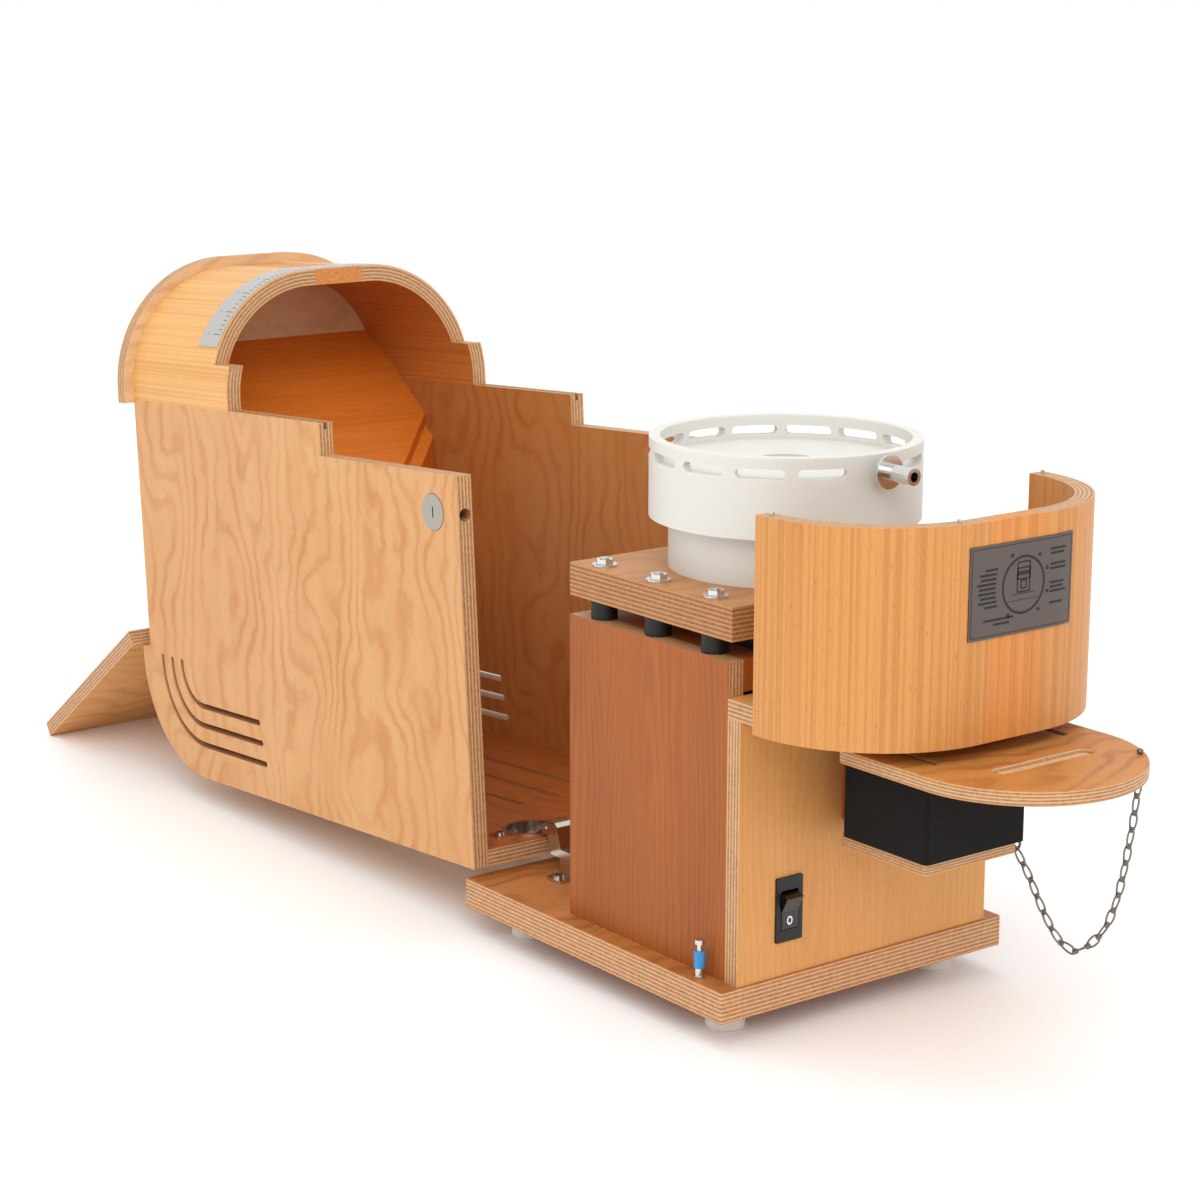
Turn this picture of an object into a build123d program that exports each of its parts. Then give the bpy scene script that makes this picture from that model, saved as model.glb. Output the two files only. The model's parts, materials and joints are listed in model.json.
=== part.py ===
from build123d import *
import math
import os

os.makedirs("parts", exist_ok=True)

# ---------------------------------------------------------------- driving dimensions
# Electric stone grain mill.  Millimetres, +Z up, origin on the floor under the middle of
# the whole footprint.  The mill is drawn with its housing tipped back and its lid down.
# Mill coordinates: x from the middle, y from the middle of the base board (front is -y),
# h above the deck, which is the upper face of the base board.
BASE_W = 237.0
BASE_D = 273.0
BASE_T = 20.0
FOOT_H = 18.0
FOOT_R = 12.5
FOOT_X = 87.5
FOOT_Y = 103.5
PLY = 12.0
DECK = FOOT_H + BASE_T

CABINET_HALF = 104.2
CABINET_FRONT = -134.5
CABINET_REAR = 35.5
CABINET_H = 201.2
FRONT_H = 167.0
SHELF_T = 12.0

MANTLE_HALF = 117.0
MANTLE_R = 90.0
MANTLE_FRONT = -255.0
MANTLE_REAR = -160.4
MANTLE_BOTTOM = 167.3
MANTLE_TOP = 298.0
KEY_HALF = 21.0

PLATE_T = 21.2
PLATE_TOP = 235.0
PLATE_FRONT = -125.5
BUFFER_R = 8.5
BUFFER_X = 93.5
BUFFER_YS = (13.0, -42.0, -97.0)

AXIS_Y = -51.5
NECK_R = 73.5
NECK_TOP = 292.0
BOWL_R = 68.0
RING_R = 86.0
RING_BOTTOM = 267.5
RING_FLOOR = 302.5
RING_TOP = 318.0
SLOT_COUNT = 14
SLOT_ARC = 20.4
SLOT_H = 308.0
STONE_R = 55.0
MOTOR_R = 58.0
SHAFT_R = 6.0

SLIDE_HALF = 75.0
SLIDE_BOTTOM = 149.5
SLIDE_TOP = 158.5
SLIDE_TIP = -336.0
SLIDE_INNER = -190.0
SPOUT_HALF = 41.0
SPOUT_FRONT = -229.6
SPOUT_REAR = -156.0
SPOUT_BOTTOM = 90.0
GATE_Y = -173.5

HOUSE_HALF = 117.0
HOUSE_REAR = 135.25
HOUSE_FRONT = -133.2
HOUSE_NOSE = -156.6
HOUSE_FOOT = 0.6
HOUSE_STEP = 172.3
HOUSE_SEAT = 448.0
HOUSE_TOP = 460.0
LEG_BOTTOM = 301.0
ARCH_RIM = 323.0
LEG_FRONT = -189.5
TOP_REAR = -154.0
TOP_LIP = 7.5
CORNER_R = 90.0
CORNER_Y = HOUSE_REAR - CORNER_R
CORNER_H = HOUSE_TOP - CORNER_R
VENT_W = 4.6
GAP = 0.3

HINGE_Y = 134.7
HINGE_H = 7.8
OPEN_ANGLE = 93.6
HINGE_X = 52.0
CUP_H = 25.0
PIN_Y = 124.0
PIN_H = 27.0
LINK_LENGTH = 16.3
LINK_ANGLE = -28.6

LID_AXIS_Y = 40.75
LID_AXIS_H = 461.2
LID_REAR = 39.5
LID_FRONT = -153.5
LID_HALF = 124.5

CAM_Y = -106.5
CAM_H = 30.0
DOWEL_X = 111.0

# where the tipped housing carries the lid axis, and the slope at which the lid's front
# edge meets the floor
open_rad = math.radians(OPEN_ANGLE)
lid_dy = LID_AXIS_Y - HINGE_Y
lid_dh = LID_AXIS_H - HINGE_H
lid_open_y = HINGE_Y + lid_dy * math.cos(open_rad) + lid_dh * math.sin(open_rad)
lid_open_z = DECK + HINGE_H - lid_dy * math.sin(open_rad) + lid_dh * math.cos(open_rad)
lid_reach = LID_AXIS_Y - LID_FRONT
lid_proud = LID_AXIS_H - HOUSE_TOP
lid_slope = math.asin(lid_open_z / math.hypot(lid_reach, lid_proud)) + math.atan2(lid_proud, lid_reach)
LID_SWING = 180 + math.degrees(lid_slope) - OPEN_ANGLE
lid_rear_y = lid_open_y + lid_reach * math.cos(lid_slope) + (lid_proud + PLY) * math.sin(lid_slope)
MILL_Y = -(SLIDE_TIP + lid_rear_y) / 2

HINGE_PIVOT = (0, MILL_Y + HINGE_Y, DECK + HINGE_H)
LID_PIVOT = (0, MILL_Y + LID_AXIS_Y, DECK + LID_AXIS_H)
TIP = Pos(*HINGE_PIVOT) * Rot(-OPEN_ANGLE, 0, 0) * Pos(0, -HINGE_PIVOT[1], -HINGE_PIVOT[2])
DROP = Pos(*LID_PIVOT) * Rot(-LID_SWING, 0, 0) * Pos(0, -LID_PIVOT[1], -LID_PIVOT[2])


# ---------------------------------------------------------------- planes and outlines
def level(h):
    return Plane(origin=(0, MILL_Y, DECK + h))


def front(y):
    return Plane(origin=(0, MILL_Y + y, DECK), x_dir=(1, 0, 0), z_dir=(0, -1, 0))


def side(x):
    return Plane(origin=(x, MILL_Y, DECK), x_dir=(0, 1, 0), z_dir=(1, 0, 0))


def ring_wall(azimuth):
    a = math.radians(azimuth)
    out = (math.cos(a), math.sin(a), 0)
    origin = (RING_R * out[0], MILL_Y + AXIS_Y + RING_R * out[1], DECK + SLOT_H)
    return Plane(origin=origin, x_dir=(-out[1], out[0], 0), z_dir=out)


def tipped(plane):
    return Plane(TIP * plane.location)


def dropped(plane):
    return Plane(TIP * DROP * plane.location)


def d_outline(half, nose, radius, rear):
    bend_y = nose + radius
    flat = half - radius
    mid = radius * math.sqrt(0.5)
    with BuildSketch() as face:
        with BuildLine():
            Line((-half, rear), (half, rear))
            Line((half, rear), (half, bend_y))
            ThreePointArc((half, bend_y), (flat + mid, bend_y - mid), (flat, nose))
            Line((flat, nose), (-flat, nose))
            ThreePointArc((-flat, nose), (-flat - mid, bend_y - mid), (-half, bend_y))
            Line((-half, bend_y), (-half, rear))
        make_face()
    return face.sketch


def d_band(grow_out, grow_in, rear):
    with BuildSketch() as face:
        add(d_outline(MANTLE_HALF + grow_out, MANTLE_FRONT - grow_out, MANTLE_R + grow_out, rear))
        add(
            d_outline(MANTLE_HALF - grow_in, MANTLE_FRONT + grow_in, MANTLE_R - grow_in, rear),
            mode=Mode.SUBTRACT,
        )
    return face.sketch


def outline(*points):
    with BuildSketch() as face:
        with BuildLine():
            Polyline(*points, close=True)
        make_face()
    return face.sketch


def rect(x0, x1, y0, y1):
    with BuildSketch() as face:
        with Locations(((x0 + x1) / 2, (y0 + y1) / 2)):
            Rectangle(x1 - x0, y1 - y0)
    return face.sketch


def side_outline():
    mid = CORNER_R * math.sqrt(0.5)
    with BuildSketch() as face:
        with BuildLine():
            Polyline(
                (HOUSE_REAR, CORNER_H),
                (HOUSE_REAR, HOUSE_FOOT),
                (HOUSE_FRONT, HOUSE_FOOT),
                (HOUSE_FRONT, HOUSE_STEP),
                (HOUSE_NOSE, HOUSE_STEP),
                (HOUSE_NOSE, HOUSE_SEAT),
                (LID_REAR + 0.5, HOUSE_SEAT),
                (LID_REAR + 2.5, HOUSE_TOP),
                (CORNER_Y, HOUSE_TOP),
            )
            ThreePointArc(
                (CORNER_Y, HOUSE_TOP), (CORNER_Y + mid, CORNER_H + mid), (HOUSE_REAR, CORNER_H)
            )
        make_face()
    return face.sketch


def vent_slots():
    with BuildSketch() as face:
        for radius, tail in ((62.0, 274.5), (46.5, 279.0), (31.0, 282.0)):
            SlotArc(CenterArc((CORNER_Y + 1.2, CORNER_H - 4), radius, 0, 90), VENT_W)
            with Locations((CORNER_Y + 1.2 + radius, (CORNER_H - 4 + tail) / 2)):
                SlotOverall(CORNER_H - 4 - tail + VENT_W, VENT_W, rotation=90)
    return face.sketch


# ---------------------------------------------------------------- base
with BuildPart() as base_board:
    with BuildSketch(level(-BASE_T)):
        Rectangle(BASE_W, BASE_D)
    extrude(amount=BASE_T)
    fillet(base_board.edges().filter_by(Axis.Z), radius=2.0)
    chamfer(base_board.faces().sort_by(Axis.Z)[-1].edges(), length=0.8)
    with BuildSketch(level(0)):
        with Locations((0, 70)):
            Circle(7.0)
    extrude(amount=-BASE_T, mode=Mode.SUBTRACT)
    with BuildSketch(level(0)):
        with Locations((-DOWEL_X, CAM_Y), (DOWEL_X, CAM_Y)):
            Circle(2.5)
    extrude(amount=-10.0, mode=Mode.SUBTRACT)
base_board.part.label = "base_board"
export_step(base_board.part, "parts/base_board.step")

with BuildPart() as feet:
    with BuildSketch(level(-DECK)):
        with GridLocations(2 * FOOT_X, 2 * FOOT_Y, 2, 2):
            Circle(FOOT_R)
    extrude(amount=FOOT_H)
    chamfer(feet.faces().sort_by(Axis.Z)[:4].edges(), length=1.6)
    with BuildSketch(level(-DECK)):
        with GridLocations(2 * FOOT_X, 2 * FOOT_Y, 2, 2):
            Circle(5.0)
    extrude(amount=10.0, mode=Mode.SUBTRACT)
feet.part.label = "feet"
export_step(feet.part, "parts/feet.step")

with BuildPart() as power_gland:
    with BuildSketch(level(-BASE_T)):
        with Locations((0, 70)):
            Circle(6.9)
    extrude(amount=BASE_T)
    with BuildSketch(level(0)):
        with Locations((0, 70)):
            Circle(10.0)
    extrude(amount=4.0)
    with BuildSketch(level(-BASE_T)):
        with Locations((0, 70)):
            Circle(4.0)
    extrude(amount=BASE_T + 4.0, mode=Mode.SUBTRACT)
power_gland.part.label = "power_gland"
export_step(power_gland.part, "parts/power_gland.step")

# ---------------------------------------------------------------- cabinet


def cabinet_side(sign):
    inner = CABINET_HALF - PLY
    with BuildPart() as panel:
        with BuildSketch(level(0)):
            with Locations((sign * (CABINET_HALF + inner) / 2, (CABINET_REAR + CABINET_FRONT + PLY) / 2)):
                Rectangle(PLY, CABINET_REAR - CABINET_FRONT - PLY)
        extrude(amount=CABINET_H)
        with BuildSketch(level(CABINET_H)):
            with Locations(*[(sign * BUFFER_X, y) for y in BUFFER_YS]):
                Circle(3.1)
        extrude(amount=-12.0, mode=Mode.SUBTRACT)
    return panel.part


with BuildPart() as cabinet_sides:
    add(cabinet_side(-1))
    add(cabinet_side(1))
cabinet_sides.part.label = "cabinet_sides"
export_step(cabinet_sides.part, "parts/cabinet_sides.step")

with BuildPart() as cabinet_front:
    with BuildSketch(front(CABINET_FRONT + PLY)):
        add(rect(-CABINET_HALF, CABINET_HALF, 0, FRONT_H))
        add(rect(-73.6, -55.4, 25.2, 60.2), mode=Mode.SUBTRACT)
    extrude(amount=PLY)
cabinet_front.part.label = "cabinet_front"
export_step(cabinet_front.part, "parts/cabinet_front.step")

with BuildPart() as cabinet_back:
    with BuildSketch(front(CABINET_REAR)):
        add(rect(-CABINET_HALF + PLY, CABINET_HALF - PLY, 0, CABINET_H))
        with Locations(*[(0, 60 + 14 * i) for i in range(7)]):
            SlotOverall(110, 6, mode=Mode.SUBTRACT)
    extrude(amount=PLY)
cabinet_back.part.label = "cabinet_back"
export_step(cabinet_back.part, "parts/cabinet_back.step")

RAIL_W = 20.0
RAIL_H = 20.0
rail_outer = CABINET_HALF - PLY
rail_mid = rail_outer - RAIL_W / 2

with BuildPart() as buffer_rails:
    with BuildSketch(level(CABINET_H - RAIL_H)):
        with Locations((-rail_mid, -49.5), (rail_mid, -49.5)):
            Rectangle(RAIL_W, 146)
    extrude(amount=RAIL_H)
    with BuildSketch(level(CABINET_H)):
        with Locations(*[(s * BUFFER_X, y) for s in (-1, 1) for y in BUFFER_YS]):
            Circle(3.1)
    extrude(amount=-12.0, mode=Mode.SUBTRACT)
buffer_rails.part.label = "buffer_rails"
export_step(buffer_rails.part, "parts/buffer_rails.step")

with BuildPart() as shelf_board:
    with BuildSketch(level(FRONT_H)):
        add(d_outline(CABINET_HALF, MANTLE_FRONT + PLY + 0.7, MANTLE_R - PLY - 0.7, CABINET_FRONT + PLY))
        add(rect(-23.2, 23.2, GATE_Y - 17, GATE_Y + 17), mode=Mode.SUBTRACT)
    extrude(amount=SHELF_T)
shelf_board.part.label = "shelf_board"
export_step(shelf_board.part, "parts/shelf_board.step")

# ---------------------------------------------------------------- mantle in front of the ring


def bend(bottom, top, rear, x0, x1):
    with BuildPart() as ply:
        with BuildSketch(level(bottom)):
            add(d_band(0, PLY, rear))
            add(rect(x0, x1, MANTLE_FRONT - 1, rear + 1), mode=Mode.INTERSECT)
        extrude(amount=top - bottom)
    return ply.part


with BuildPart() as mantle_bends:
    add(bend(MANTLE_BOTTOM, MANTLE_TOP, MANTLE_REAR, -MANTLE_HALF - 1, -KEY_HALF))
    add(bend(MANTLE_BOTTOM, MANTLE_TOP, MANTLE_REAR, KEY_HALF, MANTLE_HALF + 1))
mantle_bends.part.label = "mantle_bends"
export_step(mantle_bends.part, "parts/mantle_bends.step")

with BuildPart() as mantle_center_block:
    add(bend(MANTLE_BOTTOM, MANTLE_TOP, MANTLE_REAR, -KEY_HALF, KEY_HALF))
mantle_center_block.part.label = "mantle_center_block"
export_step(mantle_center_block.part, "parts/mantle_center_block.step")

with BuildPart() as mantle_pins:
    with BuildSketch(level(MANTLE_TOP)):
        with Locations((-111, -168), (111, -166), (-40, -247.5)):
            Circle(1.3)
    extrude(amount=2.2)
mantle_pins.part.label = "mantle_pins"
export_step(mantle_pins.part, "parts/mantle_pins.step")

with BuildPart() as instruction_plate:
    with BuildSketch(level(229.5)):
        add(d_band(0.8, 0, MANTLE_REAR))
        add(rect(-38, 46, MANTLE_FRONT - 2, MANTLE_FRONT + 20), mode=Mode.INTERSECT)
    extrude(amount=54.8)
instruction_plate.part.label = "instruction_plate"
export_step(instruction_plate.part, "parts/instruction_plate.step")

# ---------------------------------------------------------------- mill plate on its buffers
plate_mid = (PLATE_FRONT + CABINET_REAR) / 2

with BuildPart() as mill_plate:
    with BuildSketch(level(PLATE_TOP - PLATE_T)):
        with Locations((0, plate_mid)):
            Rectangle(208, CABINET_REAR - PLATE_FRONT)
        with Locations((0, AXIS_Y)):
            Circle(10.0, mode=Mode.SUBTRACT)
        with Locations(*[(s * BUFFER_X, y) for s in (-1, 1) for y in BUFFER_YS]):
            Circle(3.2, mode=Mode.SUBTRACT)
    extrude(amount=PLATE_T)
mill_plate.part.label = "mill_plate"
export_step(mill_plate.part, "parts/mill_plate.step")

with BuildPart() as rubber_buffers:
    with BuildSketch(level(CABINET_H)):
        with Locations(*[(s * BUFFER_X, y) for s in (-1, 1) for y in BUFFER_YS]):
            Circle(BUFFER_R)
    extrude(amount=PLATE_TOP - PLATE_T - CABINET_H)
    with BuildSketch(level(CABINET_H - 11)):
        with Locations(*[(s * BUFFER_X, y) for s in (-1, 1) for y in BUFFER_YS]):
            Circle(2.95)
    extrude(amount=11 + PLATE_TOP - CABINET_H + 5.4)
rubber_buffers.part.label = "rubber_buffers"
export_step(rubber_buffers.part, "parts/rubber_buffers.step")

with BuildPart() as plate_nuts:
    with BuildSketch(level(PLATE_TOP)):
        with Locations(*[(s * BUFFER_X, y) for s in (-1, 1) for y in BUFFER_YS]):
            Circle(8.0)
            Circle(3.05, mode=Mode.SUBTRACT)
    extrude(amount=1.4)
    with BuildSketch(level(PLATE_TOP + 1.4)):
        with Locations(*[(s * BUFFER_X, y) for s in (-1, 1) for y in BUFFER_YS]):
            RegularPolygon(5.8, 6)
            Circle(3.05, mode=Mode.SUBTRACT)
    extrude(amount=3.2)
plate_nuts.part.label = "plate_nuts"
export_step(plate_nuts.part, "parts/plate_nuts.step")

# ---------------------------------------------------------------- motor under the plate
MOTOR_TOP = PLATE_TOP - PLATE_T
FLANGE_H = MOTOR_TOP - 8.0
CAP_H = 95.0

with BuildPart() as motor_end_bells:
    with BuildSketch(level(FLANGE_H)):
        with Locations((0, AXIS_Y)):
            Circle(MOTOR_R + 4)
            Circle(13.0, mode=Mode.SUBTRACT)
    extrude(amount=8.0)
    with BuildSketch(level(CAP_H - 8)):
        with Locations((0, AXIS_Y)):
            Circle(MOTOR_R)
            Circle(13.0, mode=Mode.SUBTRACT)
        with Locations((0, AXIS_Y)):
            with PolarLocations(34, 6):
                Circle(7.0, mode=Mode.SUBTRACT)
    extrude(amount=8.0)
motor_end_bells.part.label = "motor_end_bells"
export_step(motor_end_bells.part, "parts/motor_end_bells.step")

with BuildPart() as motor_stator:
    with BuildSketch(level(CAP_H)):
        with Locations((0, AXIS_Y)):
            Circle(MOTOR_R)
            Circle(MOTOR_R - 4, mode=Mode.SUBTRACT)
    extrude(amount=FLANGE_H - CAP_H)
    with BuildSketch(level(115)):
        with Locations((0, AXIS_Y)):
            Circle(MOTOR_R - 4)
            Circle(34.6, mode=Mode.SUBTRACT)
    extrude(amount=70)
motor_stator.part.label = "motor_stator"
export_step(motor_stator.part, "parts/motor_stator.step")

with BuildPart() as shaft_bearings:
    with BuildSketch(level(FLANGE_H)):
        with Locations((0, AXIS_Y)):
            Circle(13.0)
            Circle(SHAFT_R + 0.05, mode=Mode.SUBTRACT)
    extrude(amount=8.0)
    with BuildSketch(level(CAP_H - 8)):
        with Locations((0, AXIS_Y)):
            Circle(13.0)
            Circle(SHAFT_R + 0.05, mode=Mode.SUBTRACT)
    extrude(amount=8.0)
shaft_bearings.part.label = "shaft_bearings"
export_step(shaft_bearings.part, "parts/shaft_bearings.step")

with BuildPart() as capacitor:
    with BuildSketch(level(0)):
        with Locations((70, -98)):
            Circle(15.0)
    extrude(amount=62.0)
    fillet(capacitor.faces().sort_by(Axis.Z)[-1].edges(), radius=2.0)
capacitor.part.label = "capacitor"
export_step(capacitor.part, "parts/capacitor.step")

with BuildPart() as motor_rotor:
    with BuildSketch(level(66)):
        with Locations((0, AXIS_Y)):
            Circle(SHAFT_R)
    extrude(amount=254 - 66)
    with BuildSketch(level(117)):
        with Locations((0, AXIS_Y)):
            Circle(34.0)
    extrude(amount=66)
motor_rotor.part.label = "motor_rotor"
export_step(motor_rotor.part, "parts/motor_rotor.step")

with BuildPart() as cooling_fan:
    with BuildSketch(level(69)):
        with Locations((0, AXIS_Y)):
            Circle(48.0)
            Circle(SHAFT_R, mode=Mode.SUBTRACT)
    extrude(amount=2.5)
    with BuildSketch(level(71.5)):
        with Locations((0, AXIS_Y)):
            Circle(12.0)
            Circle(SHAFT_R, mode=Mode.SUBTRACT)
            with PolarLocations(30, 9):
                Rectangle(34, 2)
    extrude(amount=12.0)
cooling_fan.part.label = "cooling_fan"
export_step(cooling_fan.part, "parts/cooling_fan.step")

# ---------------------------------------------------------------- grinding chamber and stones
BOWL_FLOOR = PLATE_TOP + 8.0

with BuildPart() as grinding_chamber:
    with BuildSketch(level(PLATE_TOP)):
        with Locations((0, AXIS_Y)):
            Circle(NECK_R)
            Circle(9.0, mode=Mode.SUBTRACT)
    extrude(amount=NECK_TOP - PLATE_TOP)
    with BuildSketch(level(BOWL_FLOOR)):
        with Locations((0, AXIS_Y)):
            Circle(BOWL_R)
    extrude(amount=NECK_TOP - BOWL_FLOOR, mode=Mode.SUBTRACT)
    with BuildSketch(front(AXIS_Y)):
        add(rect(-22, 22, BOWL_FLOOR, 260))
    extrude(amount=NECK_R + 5, mode=Mode.SUBTRACT)
grinding_chamber.part.label = "grinding_chamber"
export_step(grinding_chamber.part, "parts/grinding_chamber.step")

with BuildPart() as stone_carrier:
    with BuildSketch(level(BOWL_FLOOR + 1.5)):
        with Locations((0, AXIS_Y)):
            Circle(50.0)
            with PolarLocations(55, 3):
                Rectangle(22, 5)
    extrude(amount=5.0)
    with BuildSketch(level(BOWL_FLOOR + 6.5)):
        with Locations((0, AXIS_Y)):
            Circle(STONE_R)
    extrude(amount=8.0)
    with BuildSketch(level(BOWL_FLOOR)):
        with Locations((0, AXIS_Y)):
            Circle(SHAFT_R)
    extrude(amount=254 - BOWL_FLOOR, mode=Mode.SUBTRACT)
stone_carrier.part.label = "stone_carrier"
export_step(stone_carrier.part, "parts/stone_carrier.step")

with BuildPart() as lower_stone:
    with BuildSketch(level(BOWL_FLOOR + 14.5)):
        with Locations((0, AXIS_Y)):
            Circle(STONE_R)
    extrude(amount=14.5)
    with BuildSketch(level(BOWL_FLOOR + 29)):
        with Locations((0, AXIS_Y)):
            Circle(18.0)
            with PolarLocations(34, 8):
                Rectangle(34, 3, rotation=12)
    extrude(amount=-2.5, mode=Mode.SUBTRACT)
lower_stone.part.label = "lower_stone"
export_step(lower_stone.part, "parts/lower_stone.step")

UPPER_STONE_BOTTOM = BOWL_FLOOR + 29.6

with BuildPart() as upper_stone:
    with BuildSketch(level(UPPER_STONE_BOTTOM)):
        with Locations((0, AXIS_Y)):
            Circle(STONE_R)
            Circle(18.0, mode=Mode.SUBTRACT)
    extrude(amount=296.5 - UPPER_STONE_BOTTOM)
    with BuildSketch(level(UPPER_STONE_BOTTOM)):
        with Locations((0, AXIS_Y)):
            with PolarLocations(34, 8):
                Rectangle(34, 3, rotation=-12)
    extrude(amount=2.5, mode=Mode.SUBTRACT)
upper_stone.part.label = "upper_stone"
export_step(upper_stone.part, "parts/upper_stone.step")

with BuildPart() as adjusting_ring:
    with BuildSketch(level(RING_BOTTOM)):
        with Locations((0, AXIS_Y)):
            Circle(RING_R)
    extrude(amount=RING_TOP - RING_BOTTOM)
    with BuildSketch(level(RING_BOTTOM)):
        with Locations((0, AXIS_Y)):
            Circle(NECK_R + 0.6)
    extrude(amount=296.5 - RING_BOTTOM, mode=Mode.SUBTRACT)
    with BuildSketch(level(RING_FLOOR)):
        with Locations((0, AXIS_Y)):
            Circle(RING_R - 7.0)
    extrude(amount=RING_TOP - RING_FLOOR, mode=Mode.SUBTRACT)
    with BuildSketch(level(296.5)):
        with Locations((0, AXIS_Y)):
            Circle(19.0)
    extrude(amount=RING_FLOOR - 296.5, mode=Mode.SUBTRACT)
    for i in range(1, SLOT_COUNT):
        with BuildSketch(ring_wall(-90 + i * 360 / SLOT_COUNT)):
            SlotOverall(2 * RING_R * math.sin(math.radians(SLOT_ARC / 2)), 6.0)
        extrude(amount=-14.0, mode=Mode.SUBTRACT)
    with BuildSketch(ring_wall(-90)):
        Circle(2.6)
    extrude(amount=-14.0, mode=Mode.SUBTRACT)
adjusting_ring.part.label = "adjusting_ring"
export_step(adjusting_ring.part, "parts/adjusting_ring.step")

LEVER_OUT = AXIS_Y - RING_R - 8.0

with BuildPart() as lever_stud:
    with BuildSketch(front(AXIS_Y - RING_R + 11.0)):
        with Locations((0, SLOT_H)):
            Circle(2.5)
    extrude(amount=20.6)
    with BuildSketch(front(AXIS_Y - RING_R + 7.5)):
        with Locations((0, SLOT_H)):
            RegularPolygon(4.6, 6)
    extrude(amount=-4.0)
    with BuildSketch(front(LEVER_OUT)):
        with Locations((0, SLOT_H)):
            Circle(10.5)
    extrude(amount=1.6)
lever_stud.part.label = "lever_stud"
export_step(lever_stud.part, "parts/lever_stud.step")

with BuildPart() as lever_socket:
    with BuildSketch(front(LEVER_OUT - 1.6)):
        with Locations((0, SLOT_H)):
            Circle(5.3)
    extrude(amount=20.8)
    with BuildSketch(front(LEVER_OUT - 4.0)):
        with Locations((0, SLOT_H)):
            Circle(3.0)
    extrude(amount=18.4, mode=Mode.SUBTRACT)
lever_socket.part.label = "lever_socket"
export_step(lever_socket.part, "parts/lever_socket.step")

# ---------------------------------------------------------------- flour chute and spout
with BuildPart() as flour_chute:
    with BuildSketch(level(239)):
        add(rect(-26, 26, -190, -118))
    extrude(amount=24.0)
    with BuildSketch(level(159.2)):
        add(rect(-22.5, 22.5, -190, -157))
    extrude(amount=80.0)
    with BuildSketch(level(242)):
        add(rect(-23, 23, -187, -118))
    extrude(amount=18.0, mode=Mode.SUBTRACT)
    with BuildSketch(level(159.2)):
        add(rect(-19.5, 19.5, -187, -160))
    extrude(amount=83.0, mode=Mode.SUBTRACT)
    with BuildSketch(level(230)):
        with Locations((0, AXIS_Y)):
            Circle(NECK_R + 0.2)
    extrude(amount=40.0, mode=Mode.SUBTRACT)
flour_chute.part.label = "flour_chute"
export_step(flour_chute.part, "parts/flour_chute.step")

with BuildPart() as spout_bracket:
    with BuildSketch(level(SPOUT_BOTTOM + 2)):
        add(rect(-22, 22, SPOUT_REAR, CABINET_FRONT))
    extrude(amount=SLIDE_BOTTOM - 1 - SPOUT_BOTTOM - 2)
spout_bracket.part.label = "spout_bracket"
export_step(spout_bracket.part, "parts/spout_bracket.step")

with BuildPart() as spout_foam:
    with BuildSketch(level(SPOUT_BOTTOM)):
        with Locations((0, (SPOUT_FRONT + SPOUT_REAR) / 2)):
            RectangleRounded(2 * SPOUT_HALF, SPOUT_REAR - SPOUT_FRONT, 3.0)
        add(rect(-20, 20, GATE_Y - 13, GATE_Y + 13), mode=Mode.SUBTRACT)
    extrude(amount=SLIDE_BOTTOM - GAP - SPOUT_BOTTOM)
spout_foam.part.label = "spout_foam"
export_step(spout_foam.part, "parts/spout_foam.step")

with BuildPart() as spout_board:
    with BuildSketch(level(SPOUT_BOTTOM - 8)):
        with Locations((0, (SPOUT_FRONT + SPOUT_REAR) / 2 + 4)):
            RectangleRounded(76, SPOUT_REAR - SPOUT_FRONT, 2.0)
        add(rect(-20, 20, GATE_Y - 13, GATE_Y + 13), mode=Mode.SUBTRACT)
    extrude(amount=8.0)
    with BuildSketch(side(28)):
        with Locations((-221, 85)):
            Circle(1.6)
    extrude(amount=12.0, mode=Mode.SUBTRACT)
spout_board.part.label = "spout_board"
export_step(spout_board.part, "parts/spout_board.step")

# ---------------------------------------------------------------- slide board on its runners
with BuildPart() as slide_runners:
    with BuildSketch(front(-136)):
        for sign in (-1, 1):
            add(rect(sign * 52.5 - 5.5, sign * 52.5 + 5.5, SLIDE_TOP + GAP, FRONT_H))
            add(rect(sign * 52.5 - 2.5, sign * 52.5 + 2.5, SLIDE_TOP - 4, SLIDE_TOP + GAP))
            add(rect(sign * 52.5 - 5.0, sign * 52.5 + 5.0, SLIDE_TOP - 6.8, SLIDE_TOP - 4))
    extrude(amount=64.0)
slide_runners.part.label = "slide_runners"
export_step(slide_runners.part, "parts/slide_runners.step")

EYE_X = 57.0
EYE_Y = -303.0
SCOOP_R = 9.0
SCOOP_DEEP = 2.8

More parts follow.
